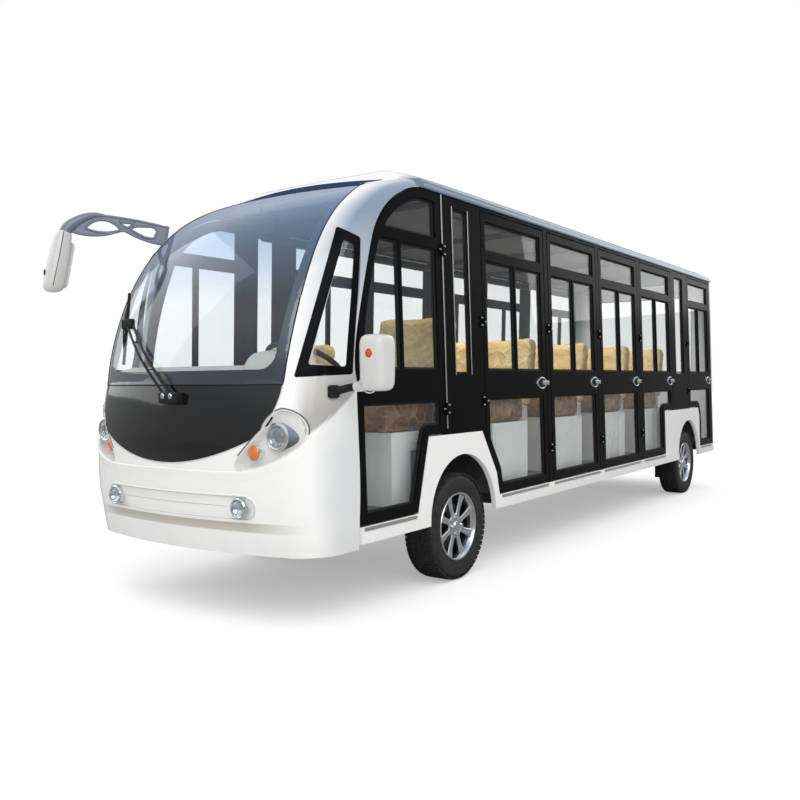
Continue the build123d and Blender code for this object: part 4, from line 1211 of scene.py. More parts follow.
class CART_OT_sides(bpy.types.Operator):
    """Make the doors and the fixed side frames with their glass and seals"""

    bl_idname = "cart.sides"
    bl_label = "Sides"

    def execute(self, context):
        sizes = context.scene.cart_sizes
        for side, place in SIDES.items():
            node = f"side_frame_{side}"
            copied(node, sizes.edge).piece(node + "_body", "black_lacquer", "root",
                                           "black_paint", node)
            for number in DOOR_NUMBERS:
                self.door(sizes, f"door_{side}_{number}", place)
        panes = Shape()
        seals = Shape()
        for part in solids_of("fixed_windows"):
            panes.add(part)
            for place in SIDES.values():
                if is_pane(part, place):
                    self.seal(sizes, seals, part, place)
        panes.piece("fixed_panes", "side_glass", "root", "clear_glass", "fixed_windows")
        seals.piece("fixed_seals", "rubber_seal", "root", "black_paint")
        return {"FINISHED"}

    def door(self, sizes, node, place):
        """Make one door's leaf, panes and seals."""
        leaf, panes, seals = Shape(), Shape(), Shape()
        for part in solids_of(node):
            if is_pane(part, place):
                panes.add(part)
                self.seal(sizes, seals, part, place)
            else:
                leaf.add(softened(part, sizes.edge))
        leaf.piece(node + "_leaf", "black_lacquer", node, "black_paint", node)
        panes.piece(node + "_panes", "side_glass", node, "clear_glass", node)
        seals.piece(node + "_seals", "rubber_seal", node, "black_paint")

    def seal(self, sizes, shape, part, place):
        """Run a rubber seal round a pane, on both faces."""
        wide, proud = sizes.seal, 0.004
        profile = [(-0.002, 0.0), (-0.002, proud), (wide * 0.3, proud * 1.3), (wide, proud * 0.3),
                   (wide, 0.0)]
        flat = place.inverted()
        faces = [(flat @ p).x for p in part[0]]
        for loop in outer_loops(part, place):
            out = [(inset, max(faces) + rise) for inset, rise in profile]
            back = [(inset, min(faces) - rise) for inset, rise in profile]
            shape.add(moulding(loop, out), place)
            shape.add(moulding(loop, back), place)


class CART_OT_wheels(bpy.types.Operator):
    """Make the tyres and the alloy wheels"""

    bl_idname = "cart.wheels"
    bl_label = "Wheels"

    def execute(self, context):
        sizes = context.scene.cart_sizes
        ring = ring_grower()
        outer, width, seat = HUB_Z, 0.165, 0.1783
        tyre = self.tyre(ring, sizes, outer, width, seat)
        faces, barrel, nuts = self.wheel(ring, sizes, width, seat - 0.0003)
        for end, y in (("front", AXLE_Y), ("rear", AXLE_Y + WHEELBASE)):
            for side, sign in (("left", 1), ("right", -1)):
                turn = Matrix.Rotation(math.radians(90), 4, "Y")
                place = Matrix.Translation((sign * HUB_X, y, HUB_Z)) @ (
                    turn if sign > 0 else MIRROR @ turn)
                body, name = f"wheel_{end}_{side}", f"{end}_{side}"
                Shape(tyre).piece("tyre_" + name + "_tread", "tyre_rubber", body, "tyre_rubber",
                                  "tyre_" + name, place=place)
                Shape(faces).piece("rim_" + name + "_face", "alloy", body, "alloy_wheel",
                                   "rim_" + name, place=place)
                Shape(barrel).piece("rim_" + name + "_barrel", "dark_alloy", body, "alloy_wheel",
                                    "rim_" + name, place=place)
                Shape(nuts).piece("rim_" + name + "_nuts", "chrome", body, "alloy_wheel",
                                  place=place)
        return {"FINISHED"}

    def tyre(self, ring, sizes, outer, width, seat):
        """Make a tyre about Z: carcass, sidewall rings and a ring of tread blocks."""
        half, deep = width / 2, outer - sizes.tread
        flank = [(seat, half - 0.014), (seat + 0.004, half - 0.006), (seat + 0.016, half - 0.003),
                 (seat + 0.022, half - 0.004), (seat + 0.040, half - 0.0005),
                 (seat + 0.046, half), (seat + 0.049, half - 0.001), (outer - 0.040, half),
                 (outer - 0.030, half - 0.0015), (outer - 0.022, half - 0.006),
                 (outer - 0.014, half - 0.011)]
        across = []
        for middle in (0.052, 0.018, -0.018, -0.052):
            across += [(deep + 0.0035, middle + 0.006), (deep, middle + 0.004),
                       (deep, middle - 0.004), (deep + 0.0035, middle - 0.006)]
        profile = flank + across + [(r, -h) for r, h in reversed(flank)]
        profile += [(seat, -half + 0.02), (seat, half - 0.02)]
        shape = Shape(lathe(profile, 96, closed=True))
        pitch = TAU * outer / sizes.pitches
        cell = Shape()
        for low, high, slant in ((0.060, 0.079, 0.5), (0.024, 0.046, 0.2), (-0.012, 0.012, 0.0),
                                 (-0.046, -0.024, -0.2), (-0.079, -0.060, -0.5)):
            shift = slant * 0.006
            drop = 0.006 if abs(low + high) > 0.1 else 0.0
            inner = outer - (0.010 if low + high <= 0.1 else 0.012)
            corners = []
            for r in (inner, outer):
                for y, z in ((-pitch * 0.41 + shift, low), (pitch * 0.41 + shift, low),
                             (pitch * 0.41 - shift, high), (-pitch * 0.41 - shift, high)):
                    sink = drop if r == outer and abs(z) > 0.07 else 0.0
                    reach = math.sqrt((r - sink) ** 2 - y * y)
                    corners.append((reach, y, z))
            faces = [[0, 3, 2, 1], [4, 5, 6, 7], [0, 1, 5, 4], [1, 2, 6, 5], [2, 3, 7, 6],
                     [3, 0, 4, 7]]
            cell.add(rounded((corners, faces), 0.0012, 1))
        shape.add(copies(ring, cell.part(), "tyre_rubber", count=sizes.pitches, phase=0.0))
        return shape.part()

    def wheel(self, ring, sizes, width, radius):
        """Make a wheel about Z: spoked face, dark barrel, nuts and the drum behind."""
        half = width / 2
        face = half - 0.022
        lip = [(radius - 0.002, half - 0.016), (radius + 0.002, half - 0.009),
               (radius - 0.001, half - 0.004), (radius - 0.008, half - 0.005),
               (radius - 0.013, half - 0.012), (radius - 0.018, half - 0.030),
               (radius - 0.012, half - 0.034)]
        shape = Shape(lathe(lip, 72, closed=True))
        hub = [(0.0, face + 0.010), (0.026, face + 0.010), (0.030, face + 0.006),
               (0.031, face + 0.001), (0.055, face - 0.001), (0.064, face - 0.008),
               (0.066, face - 0.030), (0.0, face - 0.030)]
        shape.add(lathe(hub, 48))
        stations = ((0.050, 0.017, 0.0), (0.085, 0.015, -0.002), (0.130, 0.019, -0.001),
                    (radius - 0.012, 0.027, 0.004))
        rings = []
        for r, wide, rise in stations:
            top = face + rise
            rings.append([(r, -wide, top - 0.022), (r, -wide, top - 0.004),
                          (r, -wide * 0.62, top), (r, 0.0, top - 0.003), (r, wide * 0.62, top),
                          (r, wide, top - 0.004), (r, wide, top - 0.022)])
        spoke = rounded(solid(rings), 0.0012, 1, 25)
        shape.add(copies(ring, spoke, "alloy", count=sizes.spokes, phase=TAU / 16))
        barrel = [(radius - 0.001, -half + 0.012), (radius + 0.001, -half + 0.006),
                  (radius - 0.007, -half + 0.006), (radius - 0.010, -half + 0.02),
                  (radius - 0.024, -0.02), (radius - 0.024, face - 0.03),
                  (radius - 0.013, half - 0.03), (radius - 0.002, half - 0.018),
                  (radius - 0.003, half - 0.03), (radius - 0.018, face - 0.03),
                  (radius - 0.018, -0.02), (radius - 0.004, -half + 0.022)]
        drum = lathe([(0.0, face - 0.045), (0.118, face - 0.045), (0.124, face - 0.055),
                      (0.124, face - 0.06), (0.0, face - 0.06)], 48)
        dark = Shape(lathe(barrel, 72, closed=True)).add(drum)
        nut = solid([[(0.045 + a, b, h) for a, b in circle(0.0095, 6)]
                     for h in (face - 0.006, face + 0.012)])
        nuts = copies(ring, rounded(nut, 0.0015), "chrome", count=sizes.nuts, phase=0.0)
        return shape.part(), dark.part(), nuts


# Places on the front, as distance from the middle, height, radius and station of the face
HEADLAMP = (0.570, 0.816, 0.056, -1.222)
INDICATOR = (0.474, 0.747, 0.031, -1.257)
FOG_LAMP = (0.410, 0.515, 0.042, -1.293)
POD_FLOOR = ((0.380, -1.264), (0.700, -1.158))
POD_SPINE = ((0.590, 0.822), (0.445, 0.706))
# The painted shadow along a recess's rim starts and ends at these points of its outline.
SHADOW_START, SHADOW_END = 46, 13


def pod_floor(x):
    """Give the place along the cart of a lamp recess's slanting floor."""
    (x0, y0), (x1, y1) = POD_FLOOR
    return AXLE_Y + y0 + (y1 - y0) / (x1 - x0) * (x - x0)


def facing_ahead(lamp, flip=None):
    """Give the place of a lamp on the front: its axis points ahead."""
    x, z, _, station = lamp
    place = Matrix.Translation((x, AXLE_Y + station, z)) @ Matrix.Rotation(TAU / 4, 4, "X")
    return flip @ place if flip else place


def pod_loop():
    """Give the outline of the left lamp recess as (x, z)."""
    crown, cheek, chin = (0.592, 0.926), (0.679, 0.826), (0.650, 0.766)
    tip, notch, waist = (0.440, 0.684), (0.404, 0.712), (0.522, 0.842)
    return (arc(crown, (0.659, 0.892), cheek, 12) + arc(cheek, (0.671, 0.792), chin, 8)
            + arc(chin, (0.560, 0.712), tip, 16) + arc(tip, (0.403, 0.688), notch, 8)
            + arc(notch, (0.466, 0.783), waist, 14) + arc(waist, (0.552, 0.900), crown, 12))


def screen_loop():
    """Give the windscreen's outline as (x, z)."""
    base, waist, shoulder, top = (0.584, 1.032), (0.593, 1.387), (0.540, 1.874), (0.430, 2.046)
    return mirrored_half(
        line((0.0, 1.032), (0.50, 1.032), 10) + line((0.50, 1.032), base, 5)
        + arc(base, (0.592, 1.210), waist, 14) + arc(waist, (0.576, 1.640), shoulder, 18)
        + arc(shoulder, (0.506, 1.965), top, 10) + line(top, (0.0, 2.046), 10) + [(0.0, 2.046)])


def frit_loop():
    """Give the inner edge of the windscreen's dark band, point for point with its outline."""
    base, waist, shoulder, top = (0.545, 1.165), (0.552, 1.387), (0.498, 1.874), (0.400, 2.000)
    return mirrored_half(
        line((0.0, 1.094), (0.475, 1.096), 10) + arc((0.475, 1.096), (0.524, 1.115), base, 5)
        + arc(base, (0.551, 1.260), waist, 14) + arc(waist, (0.535, 1.640), shoulder, 18)
        + arc(shoulder, (0.466, 1.946), top, 10) + line(top, (0.0, 2.006), 10) + [(0.0, 2.006)])


# The crease as (x, z) from the middle to the front door, and where the corner ends it
CREASE = ((0.0, 0.670), (0.213, 0.667), (0.345, 0.667), (0.440, 0.671), (0.510, 0.683),
          (0.572, 0.704), (0.624, 0.733), (0.668, 0.772), (0.694, 0.812), (0.710, 0.855),
          (0.7225, 0.892), (0.7280, 0.920))
CORNER_X = 0.7345


def panel_loop():
    """Give the black panel's outline as (x, z), open along its top."""
    right = (arc((0.584, 1.028), (0.556, 0.905), (0.471, 0.800), 16)
             + arc((0.471, 0.800), (0.0, 0.692), (-0.471, 0.800), 48)
             + arc((-0.471, 0.800), (-0.556, 0.905), (-0.584, 1.028), 16))
    return right + [(-0.584, 1.028)]


class CART_OT_lamps(bpy.types.Operator):
    """Make the headlamps, indicators and fog lamps in their recesses"""

    bl_idname = "cart.lamps"
    bl_label = "Front lamps"

    def execute(self, context):
        skin = Skin("front_shell", "front_panel")
        shapes = {name: Shape() for name in ("pods", "flanks", "rings", "bowls", "covers",
                                             "amber", "fog", "slits")}
        loop = pod_loop()
        lining = self.lining(skin, loop)
        flank = self.flank()
        rim = grown(loop, 0.0080)
        # A dark strip just outside each recess rim is painted shadow.
        groove_shadow = skin.strip(rim[SHADOW_START:] + rim[:SHADOW_END], circle(0.0028, 8), False)
        for flip in (None, MIRROR):
            shapes["pods"].add(lining, flip)
            shapes["flanks"].add(flank, flip)
            shapes["slits"].add(groove_shadow, flip)
            self.lamp(skin, shapes, HEADLAMP, flip, 0.011)
            self.fog(skin, shapes, flip)
            self.indicator(skin, shapes, flip)
        # The recess lining's pale grey is painted shade on the white pods.
        shapes["pods"].piece("lamp_pods", "silver_paint", "root", "white_gelcoat")
        # The flanks' dark finish is painted shade and reflection on the white lamp pods.
        shapes["flanks"].piece("lamp_flanks", "slate_paint", "root", "white_gelcoat")
        shapes["slits"].piece("lamp_slits", "groove_shade", "root", "black_paint")
        shapes["rings"].piece("lamp_rings", "ring_silver", "root", "lamp_glass", "headlamps")
        shapes["bowls"].piece("lamp_bowls", "chrome", "root", "lamp_glass", "headlamps")
        shapes["covers"].piece("lamp_covers", "lamp_cover", "root", "lamp_glass", "headlamps")
        shapes["amber"].piece("indicator_lenses", "amber_lens", "root", "amber_lens",
                              "indicators")
        shapes["fog"].piece("fog_lamp_rings", "chrome", "root", "lamp_glass", "fog_lamps")
        return {"FINISHED"}

    def lining(self, skin, loop):
        """Line the teardrop recess: rolled rim, wall and slanting floor."""
        rows = []
        for inset, rise in ((0.0050, 0.0004), (0.0030, 0.0022), (0.0005, 0.0018)):
            rows.append([p + n * rise for p, n in (skin.hit(x, z)
                                                   for x, z in grown(loop, inset))])
        edge = [p.y for p, _ in (skin.hit(x, z) for x, z in grown(loop, 0.0030))]
        for inset, run in ((0.0012, 0.08), (0.0018, 0.55), (0.0040, 0.86), (0.0090, 1.0)):
            row = []
            for (x, z), start in zip(grown(loop, -inset), edge):
                row.append(Vector((x, start + (pod_floor(x) - 0.001 - start) * run, z)))
            rows.append(row)
        for keep in (0.72, 0.45, 0.2, 0.0):
            rows.append([Vector((x, pod_floor(x) - 0.001, z))
                         for x, z in shrunk(loop, keep, POD_SPINE)])
        return sheet(rows, (0, 0.0006, 0))

    def flank(self):
        """Fair the headlamp's barrel back to the floor, flared towards the outside."""
        x, z, radius, station = HEADLAMP
        rows = []
        for run, swell, lift in ((0.0, 0.0, 0.0), (0.0, 0.0, 0.0015), (0.35, 0.12, 0.0015),
                                 (0.7, 0.5, 0.0012), (1.0, 1.0, 0.001)):
            row = []
            for a, b in circle(1.0, 64):
                flare = 0.026 * swell * max(0.0, a) ** 3
                px = x + a * (radius + lift + flare)
                pz = z + b * (radius + lift) - 0.006 * swell * max(0.0, a) ** 3
                face = AXLE_Y + station + 0.006
                row.append(Vector((px, face + (pod_floor(px) - 0.0008 - face) * run, pz)))
            rows.append(row)
        back = [[p + (Vector((x, p.y, z)) - p).normalized() * 0.0015 for p in row]
                for row in reversed(rows)]
        return stitched(rows + back, True, True)

    def floors(self, skin, x, z, radius):
        """Give the places round a lamp where it meets the floor of its recess."""
        spots = []
        for a, b in circle(radius, 40):
            floor = pod_floor(x + a) if z > 0.6 else skin.hit(x + a, z + b)[0].y
            spots.append((x + a, floor, z + b))
        return spots

    def sleeve(self, skin, lamp, wall=0.004):
        """Give the barrel of a lamp from its face back to the recess."""
        x, z, radius, station = lamp
        face = AXLE_Y + station
        rings = []
        for r, front in ((radius, False), (radius, True), (radius - wall, True),
                         (radius - wall, False)):
            spots = self.floors(skin, x, z, r)
            rings.append([(a, face + 0.002 if front else b - 0.0005, c) for a, b, c in spots])
        return stitched(rings, True, True)

    def bowl(self, skin, lamp, radius, depth):
        """Give a dished reflector that stays ahead of the recess's floor."""
        x, z, _, station = lamp
        face = AXLE_Y + station
        rows = []
        for keep in (1.0, 0.9, 0.75, 0.55, 0.35, 0.15, 0.0):
            sunk = face + 0.002 + depth * (1 - keep * keep) ** 0.8
            rows.append([(a, min(sunk, b - 0.0012), c)
                         for a, b, c in self.floors(skin, x, z, radius * keep)])
        return sheet(rows, (0, 0.0008, 0))

    def lamp(self, skin, shapes, lamp, flip, border):
        """Add one round lamp: barrel, chrome ring, reflector, projector lens and cover."""
        place = facing_ahead(lamp, flip)
        radius = lamp[2]
        inner = radius - border
        bezel = [(radius + 0.0015, -0.010), (radius + 0.003, -0.002), (radius + 0.001, 0.004),
                 (radius - 0.004, 0.006), (radius - 0.009, 0.003), (inner, -0.004),
                 (inner, -0.010)]
        shapes["rings"].add(self.sleeve(skin, lamp), flip)
        shapes["rings"].add(lathe(bezel, 56, closed=True), place)
        shapes["bowls"].add(self.bowl(skin, lamp, inner, 0.034), flip)
        collar = [(0.033, -0.016), (0.034, -0.006), (0.032, -0.003), (0.029, -0.004),
                  (0.029, -0.016)]
        shapes["rings"].add(lathe(collar, 40, closed=True), place)
        eye = [(0.0, -0.014), (0.029, -0.012), (0.0285, -0.006), (0.022, 0.001),
               (0.012, 0.0045), (0.0, 0.0055)]
        shapes["covers"].add(lathe(eye, 40), place)
        dome = [(inner + 0.001, -0.003), (inner * 0.92, 0.0035), (inner * 0.7, 0.0085),
                (inner * 0.4, 0.0115), (0.0, 0.0125), (0.0, 0.0110), (inner * 0.4, 0.0100),
                (inner * 0.7, 0.0070), (inner * 0.92, 0.0020), (inner - 0.001, -0.004)]
        shapes["covers"].add(lathe(dome, 48, closed=True), place)

    def fog(self, skin, shapes, flip):
        """Add one fog lamp: barrel, ring, reflector and clear lens."""
        place = facing_ahead(FOG_LAMP, flip)
        radius = FOG_LAMP[2]
        inner = radius - 0.009
        bezel = [(radius + 0.001, -0.008), (radius + 0.002, 0.0), (radius - 0.002, 0.004),
                 (radius - 0.007, 0.002), (inner, -0.004), (inner, -0.008)]
        shapes["fog"].add(self.sleeve(skin, FOG_LAMP), flip)
        shapes["fog"].add(lathe(bezel, 48, closed=True), place)
        shapes["bowls"].add(self.bowl(skin, FOG_LAMP, inner, 0.022), flip)
        dome = [(inner + 0.001, -0.003), (inner * 0.8, 0.002), (inner * 0.4, 0.0045),
                (0.0, 0.0052), (0.0, 0.0038), (inner * 0.4, 0.0032), (inner * 0.8, 0.0008),
                (inner - 0.001, -0.004)]
        shapes["covers"].add(lathe(dome, 40, closed=True), place)

    def indicator(self, skin, shapes, flip):
        """Add one amber indicator with its domed lens."""
        place = facing_ahead(INDICATOR, flip)
        radius = INDICATOR[2]
        shapes["rings"].add(self.sleeve(skin, INDICATOR, 0.003), flip)
        lens = [(0.0, -0.003), (radius - 0.003, -0.003), (radius - 0.001, 0.001),
                (radius - 0.004, 0.006), (radius * 0.74, 0.0085), (radius * 0.68, 0.0060),
                (radius * 0.62, 0.0085), (radius * 0.36, 0.0105), (radius * 0.30, 0.0080),
                (radius * 0.24, 0.0105), (0.0, 0.0112)]
        shapes["amber"].add(lathe(lens, 40), place)
        border = [(radius - 0.001, -0.004), (radius + 0.003, -0.003), (radius + 0.003, 0.002),
                  (radius, 0.0035), (radius - 0.001, 0.002)]
        shapes["rings"].add(lathe(border, 40, closed=True), place)


class CART_OT_front(bpy.types.Operator):
    """Make the windscreen's dark band and seals, the panel's bright line and the quarter frames"""

    bl_idname = "cart.front"
    bl_label = "Front trim"

    def execute(self, context):
        skin = Skin("front_shell", "windscreen", "front_panel")
        outer, inner = screen_loop(), frit_loop()
        rows = []
        for part in (0.0, 0.25, 0.5, 0.75, 1.0):
            loop = [(a + (c - a) * part, b + (d - b) * part)
                    for (a, b), (c, d) in zip(grown(outer, -0.002), inner)]
            rows.append([skin.hit(x, z) for x, z in loop])
        front = [[p - n * 0.0068 for p, n in row] for row in rows]
        back = [[p - n * 0.0078 for p, n in row] for row in reversed(rows)]
        Shape(stitched(front + back, True, True)).piece("windscreen_band", "grey_frit", "root",
                                                       "black_gloss")
        seal = [(-0.0035, -0.002), (0.0035, -0.002), (0.003, 0.0012), (0.0, 0.0022),
                (-0.003, 0.0012)]
        Shape(skin.strip(outer, seal)).piece("windscreen_seal", "rubber_seal", "root",
                                             "black_paint")
        bright = skin.strip(panel_loop(), [(-0.003, -0.001), (0.003, -0.001), (0.0022, 0.0018),
                                           (-0.0022, 0.0018)], False)
        Shape(bright).piece("panel_line", "mirror_shell", "root", "white_gelcoat")
        self.crease(skin)
        self.visor(skin)
        self.recess_lines(skin)
        self.quarter_frames()
        return {"FINISHED"}

    def visor(self, skin):
        """Arch the tinted head of the windscreen up over its middle."""
        rows = []
        for k in range(41):
            x = -0.500 + 0.025 * k
            lift = 0.014 * max(0.0, 1 - (x / 0.50) ** 2) ** 1.15
            low, _ = skin.hit(x, 1.985)
            high, _ = skin.hit(x, 2.040)
            row = []
            for run, swell in ((0.0, 0.0), (0.3, 0.10), (0.6, 0.38), (0.85, 0.74), (1.0, 0.96)):
                spot = low.lerp(high, run)
                row.append(spot + Vector((0, -0.0012, 0.0012 + lift * swell)))
            crest = Vector((x, AXLE_Y - 0.336, max(high.z, 2.046) + lift + 0.001))
            row += [high.lerp(crest, 0.5) + Vector((0, 0, lift * 0.55)), crest,
                    crest + Vector((0, 0.004, -0.006)), Vector((x, AXLE_Y - 0.334, 2.036))]
            rows.append(row)
        Shape(stitched(rows, False, False)).piece("windscreen_visor", "visor_blue", "root",
                                                 "black_gloss")

    def recess_lines(self, skin):
        """Trace the fog lamps' recess: a fine painted shadow line round it and a painted shade
        line along its middle fold.
        """
        edge = round_box(0.962, 0.102, 0.050, 10, (0.0, FOG_LAMP[1]))
        hair = oval(0.0012, 0.0008, 8)
        bead = oval(0.0040, 0.0026, 10)
        count = len(edge)
        loop = []
        for k, here in enumerate(edge):
            loop += line(here, edge[(k + 1) % count], 1 if math.dist(
                here, edge[(k + 1) % count]) < 0.05 else 24)
        Shape(skin.strip(grown(loop, 0.0030), bead, True, 0.0002)).piece(
            "fog_recess_bead", "white_gelcoat", "root", "white_gelcoat")
        # The grey hairlines are painted shade.
        Shape(skin.strip(grown(loop, -0.0015), hair, True, 0.0004)).piece(
            "fog_recess_line", "recess_shade", "root", "white_gelcoat")
        fold = line((-0.355, FOG_LAMP[1] + 0.004), (0.355, FOG_LAMP[1] + 0.004), 36)
        Shape(skin.strip(fold, hair, False, 0.0004)).piece(
            "fog_recess_fold", "recess_shade", "root", "white_gelcoat")

    def crease(self, skin):
        """Raise the swept edge that runs under the panel and up past both lamps."""
        half = smooth_path([(x, z, 0) for x, z in CREASE], 8)
        loop = [(-p.x, p.y) for p in reversed(half[1:])] + [(p.x, p.y) for p in half]
        last = len(loop) - 1
        rows = []
        for reach, rise in ((0.0020, 0.0000), (0.0006, 0.0026), (-0.0016, 0.0038),
                            (-0.0070, 0.0036), (-0.0220, 0.0018), (-0.0400, 0.0)):
            row = []
            for k, (x, z) in enumerate(loop):
                fade = min(1.0, min(k, last - k) / 6 + 0.06)
                way = (Vector(loop[min(k + 1, last)]) - Vector(loop[max(k - 1, 0)])).normalized()
                back = max(reach, -0.8 * (CORNER_X - abs(x)))
                point, normal = skin.hit(x - way.y * back, z + way.x * back)
                row.append(point + normal * (rise * fade + 0.0002))
            rows.append(row)
        Shape(sheet(rows, (0, 0.0006, 0), False)).piece("front_crease", "white_gelcoat", "root",
                                                        "white_gelcoat")

    def quarter_frames(self):
        """Frame the quarter windows in black over the rim of their glass."""
        skin = Skin("front_shell", "windscreen", "fixed_windows")
        outer = ((-0.3890, 1.061), (-0.1310, 1.073), (-0.0790, 1.678), (-0.1850, 1.727))
        inner = ((-0.3290, 1.114), (-0.1640, 1.106), (-0.1120, 1.640), (-0.1580, 1.664))
        rows = []
        for part, rise in ((0.0, 0.0002), (0.04, 0.0022), (0.5, 0.0026), (0.93, 0.0020),
                           (1.0, 0.0004)):
            corners = [tuple(Vector(a).lerp(Vector(b), part)) for a, b in zip(outer, inner)]
            row = []
            for k, corner in enumerate(corners):
                ahead, behind = Vector(corners[(k + 1) % 4]), Vector(corners[k - 1])
                here = Vector(corner)
                near = [here + (other - here).normalized() * 0.016 for other in (behind, ahead)]
                row += arc(near[0], here.lerp((near[0] + near[1]) / 2, 0.42), near[1], 6)
                after = ahead + (here - ahead).normalized() * 0.016
                row += line(near[1], after, 12)
            hits = [skin.slant(a, z) for a, z in row]
            rows.append([point + normal * rise for point, normal in hits])
        shape = Shape()
        for flip in (None, MIRROR):
            shape.add(sheet(rows, (-0.0006, 0.0006, 0)), flip)
        shape.piece("quarter_frames", "black_lacquer", "root", "black_paint")


class CART_OT_trim(bpy.types.Operator):
    """Make the door handles, hinge bolts, step strips, bright lines and gutters"""

    bl_idname = "cart.trim"
    bl_label = "Side trim"

    DOORS = {1: (-0.893, -0.165), 2: (0.238, 1.025), 3: (1.075, 1.863), 4: (1.913, 2.700),
             5: (2.750, 3.534), 6: (4.007, 4.722)}
    STRIPS = ((-0.865, -0.455), (0.400, 1.005), (1.095, 1.843), (1.933, 2.680), (2.770, 3.290),
              (4.335, 4.700))

    def execute(self, context):
        for side, place in SIDES.items():
            for number, (front, rear) in self.DOORS.items():
                grip = front + 0.085 if number == 1 else rear - 0.085
                self.handle(f"door_{side}_{number}", grip, place)
            strips = Shape()
            for start, end in self.STRIPS:
                strips.add(bar((0.0, start, 0.386), (0.0042, end, 0.404), 0.0015, 1), place)
                for ridge in (0.390, 0.395, 0.400):
                    strips.add(bar((0.004, start + 0.004, ridge - 0.001),
                                   (0.0052, end - 0.004, ridge + 0.001), 0.0004, 1), place)
            strips.piece(f"step_strips_{side}", "aluminium", "root", "wiper_metal")
            lines = Shape()
            lines.add(bar((-0.004, -0.160, 0.800), (0.0035, -0.151, 1.980), 0.001, 1), place)
            lines.add(bar((-0.002, 0.101, 1.070), (0.003, 0.107, 1.938), 0.001, 1), place)
            lines.add(bar((-0.002, -0.059, 1.070), (0.003, -0.053, 1.938), 0.001, 1), place)
            lines.piece(f"bright_lines_{side}", "aluminium", "root", "wiper_metal")
        gutters = Shape()
        for flip in (None, MIRROR):
            profile = [(0.6995, 1.984), (0.714, 1.984), (0.719, 1.990), (0.718, 2.002),
                       (0.714, 2.004), (0.712, 1.995), (0.706, 1.994), (0.7005, 1.999)]
            rings = [[(x, AXLE_Y + y, z) for x, z in profile] for y in (-0.33, 4.79)]
            gutters.add(rounded(solid(rings), 0.001, 1), flip)
        gutters.piece("gutters", "white_gelcoat", "root", "white_gelcoat")
        self.bolts()
        return {"FINISHED"}

    def handle(self, node, grip, place):
        """Make one door's chrome handle: a pointed oval plate with its rim and a lever."""
        half, drop, z = 0.0740, 0.0370, 1.023
        loop = (arc((grip - half, z), (grip, z + drop), (grip + half, z), 14)
                + arc((grip + half, z), (grip, z - drop), (grip - half, z), 14))
        rings = []
        for keep, rise in ((1.0, 0.0), (1.0, 0.006), (0.96, 0.0095), (0.90, 0.0105),
                           (0.84, 0.0098), (0.80, 0.0085), (0.4, 0.0083), (0.02, 0.0083)):
            rings.append([(rise, grip + (y - grip) * keep, z + (h - z) * keep) for y, h in loop])
        shape = Shape(solid(rings))
        way = 1 if node.endswith("_1") else -1
        shape.add(bar((0.0, grip - 0.0115, z - 0.0090), (0.0206, grip + 0.0715, z + 0.0090),
                      0.004))
        shape.add(bar((0.0150, grip - 0.016, z - 0.0125), (0.0222, grip + 0.074, z + 0.0125),
                      0.0034))
        shape.add(tube([(0.008, grip - way * 0.03, z), (0.0125, grip - way * 0.03, z)], 0.006, 16))
        shape.piece(node + "_handle", "chrome", node, "wiper_metal", place=place)
        rings = [[(rise, grip + (y - grip) * keep, z + (h - z) * keep) for y, h in loop]
                 for keep, rise in ((0.77, 0.0060), (0.77, 0.0090), (0.02, 0.0090))]
        Shape(solid(rings)).piece(node + "_cup", "black_plastic", node, "mirror_case",
                                  place=place)

    def bolts(self):
        """Set bolt heads on the hinge straps of the pillars and of the doors."""
        row = row_grower()
        rings = [[(h, a, b) for a, b in circle(r, 6)]
                 for h, r in ((0.0, 0.0042), (0.0025, 0.0042), (0.0034, 0.0030))]
        head = rounded(solid(rings), 0.0004, 1)
        strap = 0.0079
        heights = {1: (0.900, 1.700), 2: (0.930, 1.360), 3: (0.620, 1.360), 4: (0.620, 1.360),
                   5: (0.620, 1.360), 6: (0.930, 1.360)}
        for side, place in SIDES.items():
            fixed = Shape()
            for number, levels in heights.items():
                front, rear = self.DOORS[number]
                edge, way = (rear, -1) if number == 1 else (front, 1)
                moving = Shape()
                for z in levels:
                    moving.add(copies(row, head, "chrome", count=2,
                                      start=(strap, edge + way * 0.014, z),
                                      step=(0, way * 0.011, 0)))
                    for level in (-0.020, 0.020):
                        fixed.add(copies(row, head, "chrome", count=2,
                                         start=(strap, edge - way * 0.014, z + level),
                                         step=(0, -way * 0.011, 0)))
                name = f"door_{side}_{number}"
                moving.piece(name + "_bolts", "chrome", name, "wiper_metal", place=place)
            fixed.piece(f"hinge_bolts_{side}", "chrome", "root", "wiper_metal", place=place)


